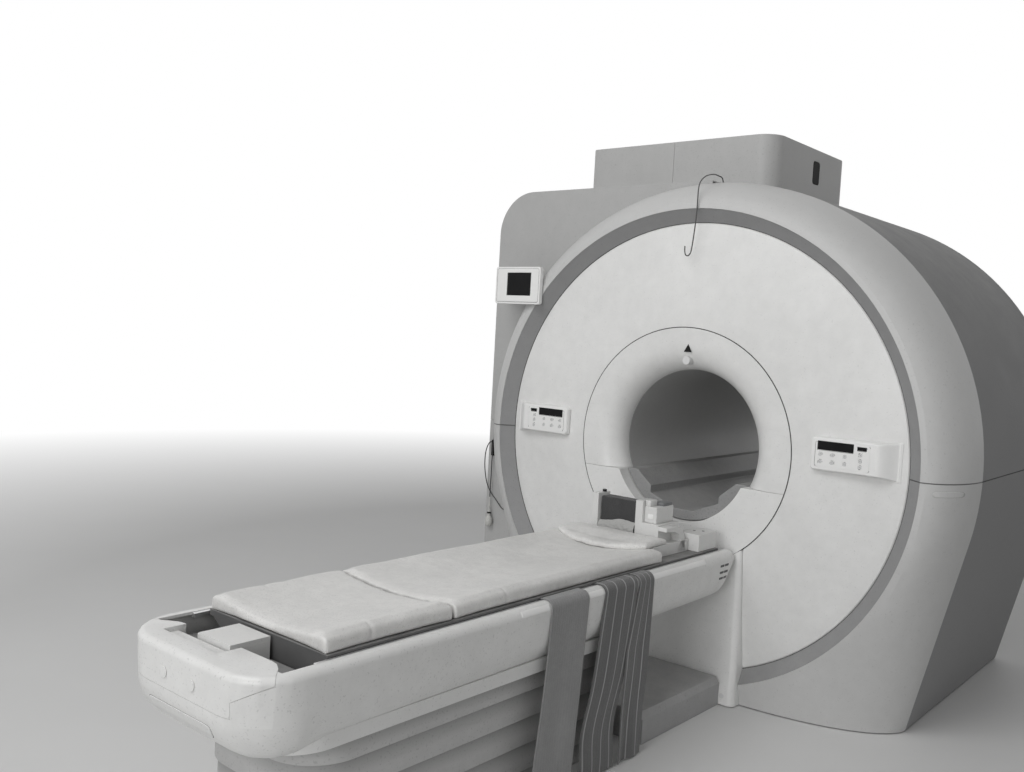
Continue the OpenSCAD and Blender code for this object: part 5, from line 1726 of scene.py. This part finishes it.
@dataclass
class HeadCoil:
    """The lower half of the head coil with its pad and connectors."""

    def build(self) -> None:
        """Dresses the coil."""
        Skin("coil_base", PAINT.coil, 0.003).build()
        Skin("coil_connector", PAINT.coil, 0.003).build()
        self._pad()
        self._cloth()
        self._fittings()

    def _fittings(self) -> None:
        """Adds the knob on the near post, the plug's cap, step and button, the two studs and the bracket."""
        grip = ((0.0, 0.010), (0.007, 0.010), (0.0085, 0.008), (0.0085, 0.0), (0.0, 0.0))
        knob = Shop.turned(grip, (-0.131, -1.072, 0.8133), UPWARD, 28)
        Shop.piece("coil_knob", knob, PAINT.black, "table")
        cap = Shop.block((0.0880, -1.0600, 0.7925), (0.1345, -0.9960, 0.8045), 0.0025)
        Shop.piece("coil_plug_cap", cap, PAINT.frame_paint, "table")
        step = Shop.block((0.0860, -1.1100, 0.7925), (0.1080, -1.0620, 0.8160), 0.003)
        Shop.piece("coil_plug_step", step, PAINT.coil, "table")
        button = Shop.block((0.1000, -1.1124, 0.7480), (0.1230, -1.1105, 0.7660), 0.0006)
        Shop.piece("coil_plug_button", button, PAINT.strip, "table")
        head = ((0.0, 0.0012), (0.0050, 0.0012), (0.0056, 0.0004), (0.0056, -0.0004))
        for name, x, y in (("near", 0.186, -0.905), ("far", 0.214, -0.885)):
            stud = Shop.turned(head, (x, y, 0.6913), UPWARD, 20)
            Shop.piece(f"coil_stud_{name}", stud, PAINT.line, "table")
        self._arch()

    def _arch(self) -> None:
        """Bends the curved bracket that stands beside the plug."""
        form = bmesh.new()
        line = [(-1.135, 0.7290), (-1.060, 0.7270), (-1.020, 0.7150), (-1.000, 0.6900), (-0.992, 0.6280)]
        inner = [(-1.135, 0.7130), (-1.075, 0.7090), (-1.045, 0.6970), (-1.030, 0.6720), (-1.050, 0.6280)]
        outer = [form.verts.new((0.160, y, z)) for y, z in line]
        inside = [form.verts.new((0.160, y, z)) for y, z in inner]
        edges = [form.edges.new(pair) for row in (outer, inside) for pair in zip(row, row[1:])]
        bmesh.ops.bridge_loops(form, edges=edges)
        sides = bmesh.ops.extrude_face_region(form, geom=form.faces[:])
        moved = [item for item in sides["geom"] if isinstance(item, bmesh.types.BMVert)]
        bmesh.ops.translate(form, verts=moved, vec=(0.040, 0.0, 0.0))
        bmesh.ops.recalc_face_normals(form, faces=form.faces)
        arch = Shop.piece("coil_arch", form, PAINT.coil, "table", sharp=50)
        Shop.soften(arch, 0.0025, 3, 30)

    def _cloth(self) -> None:
        """Lays the crumpled wrap below the pad, in front of its foot."""
        form = bmesh.new()
        bmesh.ops.create_grid(form, x_segments=56, y_segments=22, size=0.5)
        for vert in form.verts:
            u, v = vert.co.x, vert.co.y + 0.5
            x = -0.035 + u * 0.168
            z = 0.6738 + v * (0.046 + 0.005 * math.sin(u * 6.0 + 0.8) + 0.010 * u)
            y = -1.1135 - 0.010 * math.sin(v * math.pi) - 0.012 * (1 - v) ** 2
            crease = noise.noise(Vector((x * 42.0, v * 2.2, z * 55.0)))
            fine = noise.noise(Vector((x * 110.0, v * 6.0, z * 120.0)))
            vert.co = Vector((x, y - 0.0045 * abs(crease) - 0.0012 * fine, z + 0.0016 * crease))
        bmesh.ops.recalc_face_normals(form, faces=form.faces)
        wrap = Shop.piece("coil_wrap", form, PAINT.cloth, "table", sharp=180)
        Shop.thicken(wrap, 0.0012)
        Shop.smoothen(wrap)

    def _pad(self) -> None:
        """Makes the dark foam pad with an uneven lower edge."""
        low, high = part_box("coil_pad")
        form = Shop.block(tuple(low), tuple(high), 0.006)
        pad = Shop.piece("coil_foam", form, PAINT.foam, "table", sharp=180)
        Padding.remesh(pad, 0.004)
        for vert in pad.data.vertices:
            vert.co -= vert.normal * (0.001 + 0.0015 * (1 + noise.noise(vert.co * 40.0)))
        pad.data.shade_smooth()
        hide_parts("coil_pad")


def main() -> None:
    """Builds the scanner in order."""
    logging.basicConfig(level=logging.INFO, format="%(name)s %(message)s")
    studio = Studio()
    studio.camera()
    calls = CallSet()
    calls.cord()
    WireHook().build()
    calls.clip()
    gantry = Gantry()
    gantry.covers()
    gantry.mouth()
    gantry.inside()
    Controls().build()
    Couch().build()
    Straps().build()
    Table().build()
    HeadCoil().build()
    studio.light()
    studio.floor()


if __name__ == "__main__":
    main()
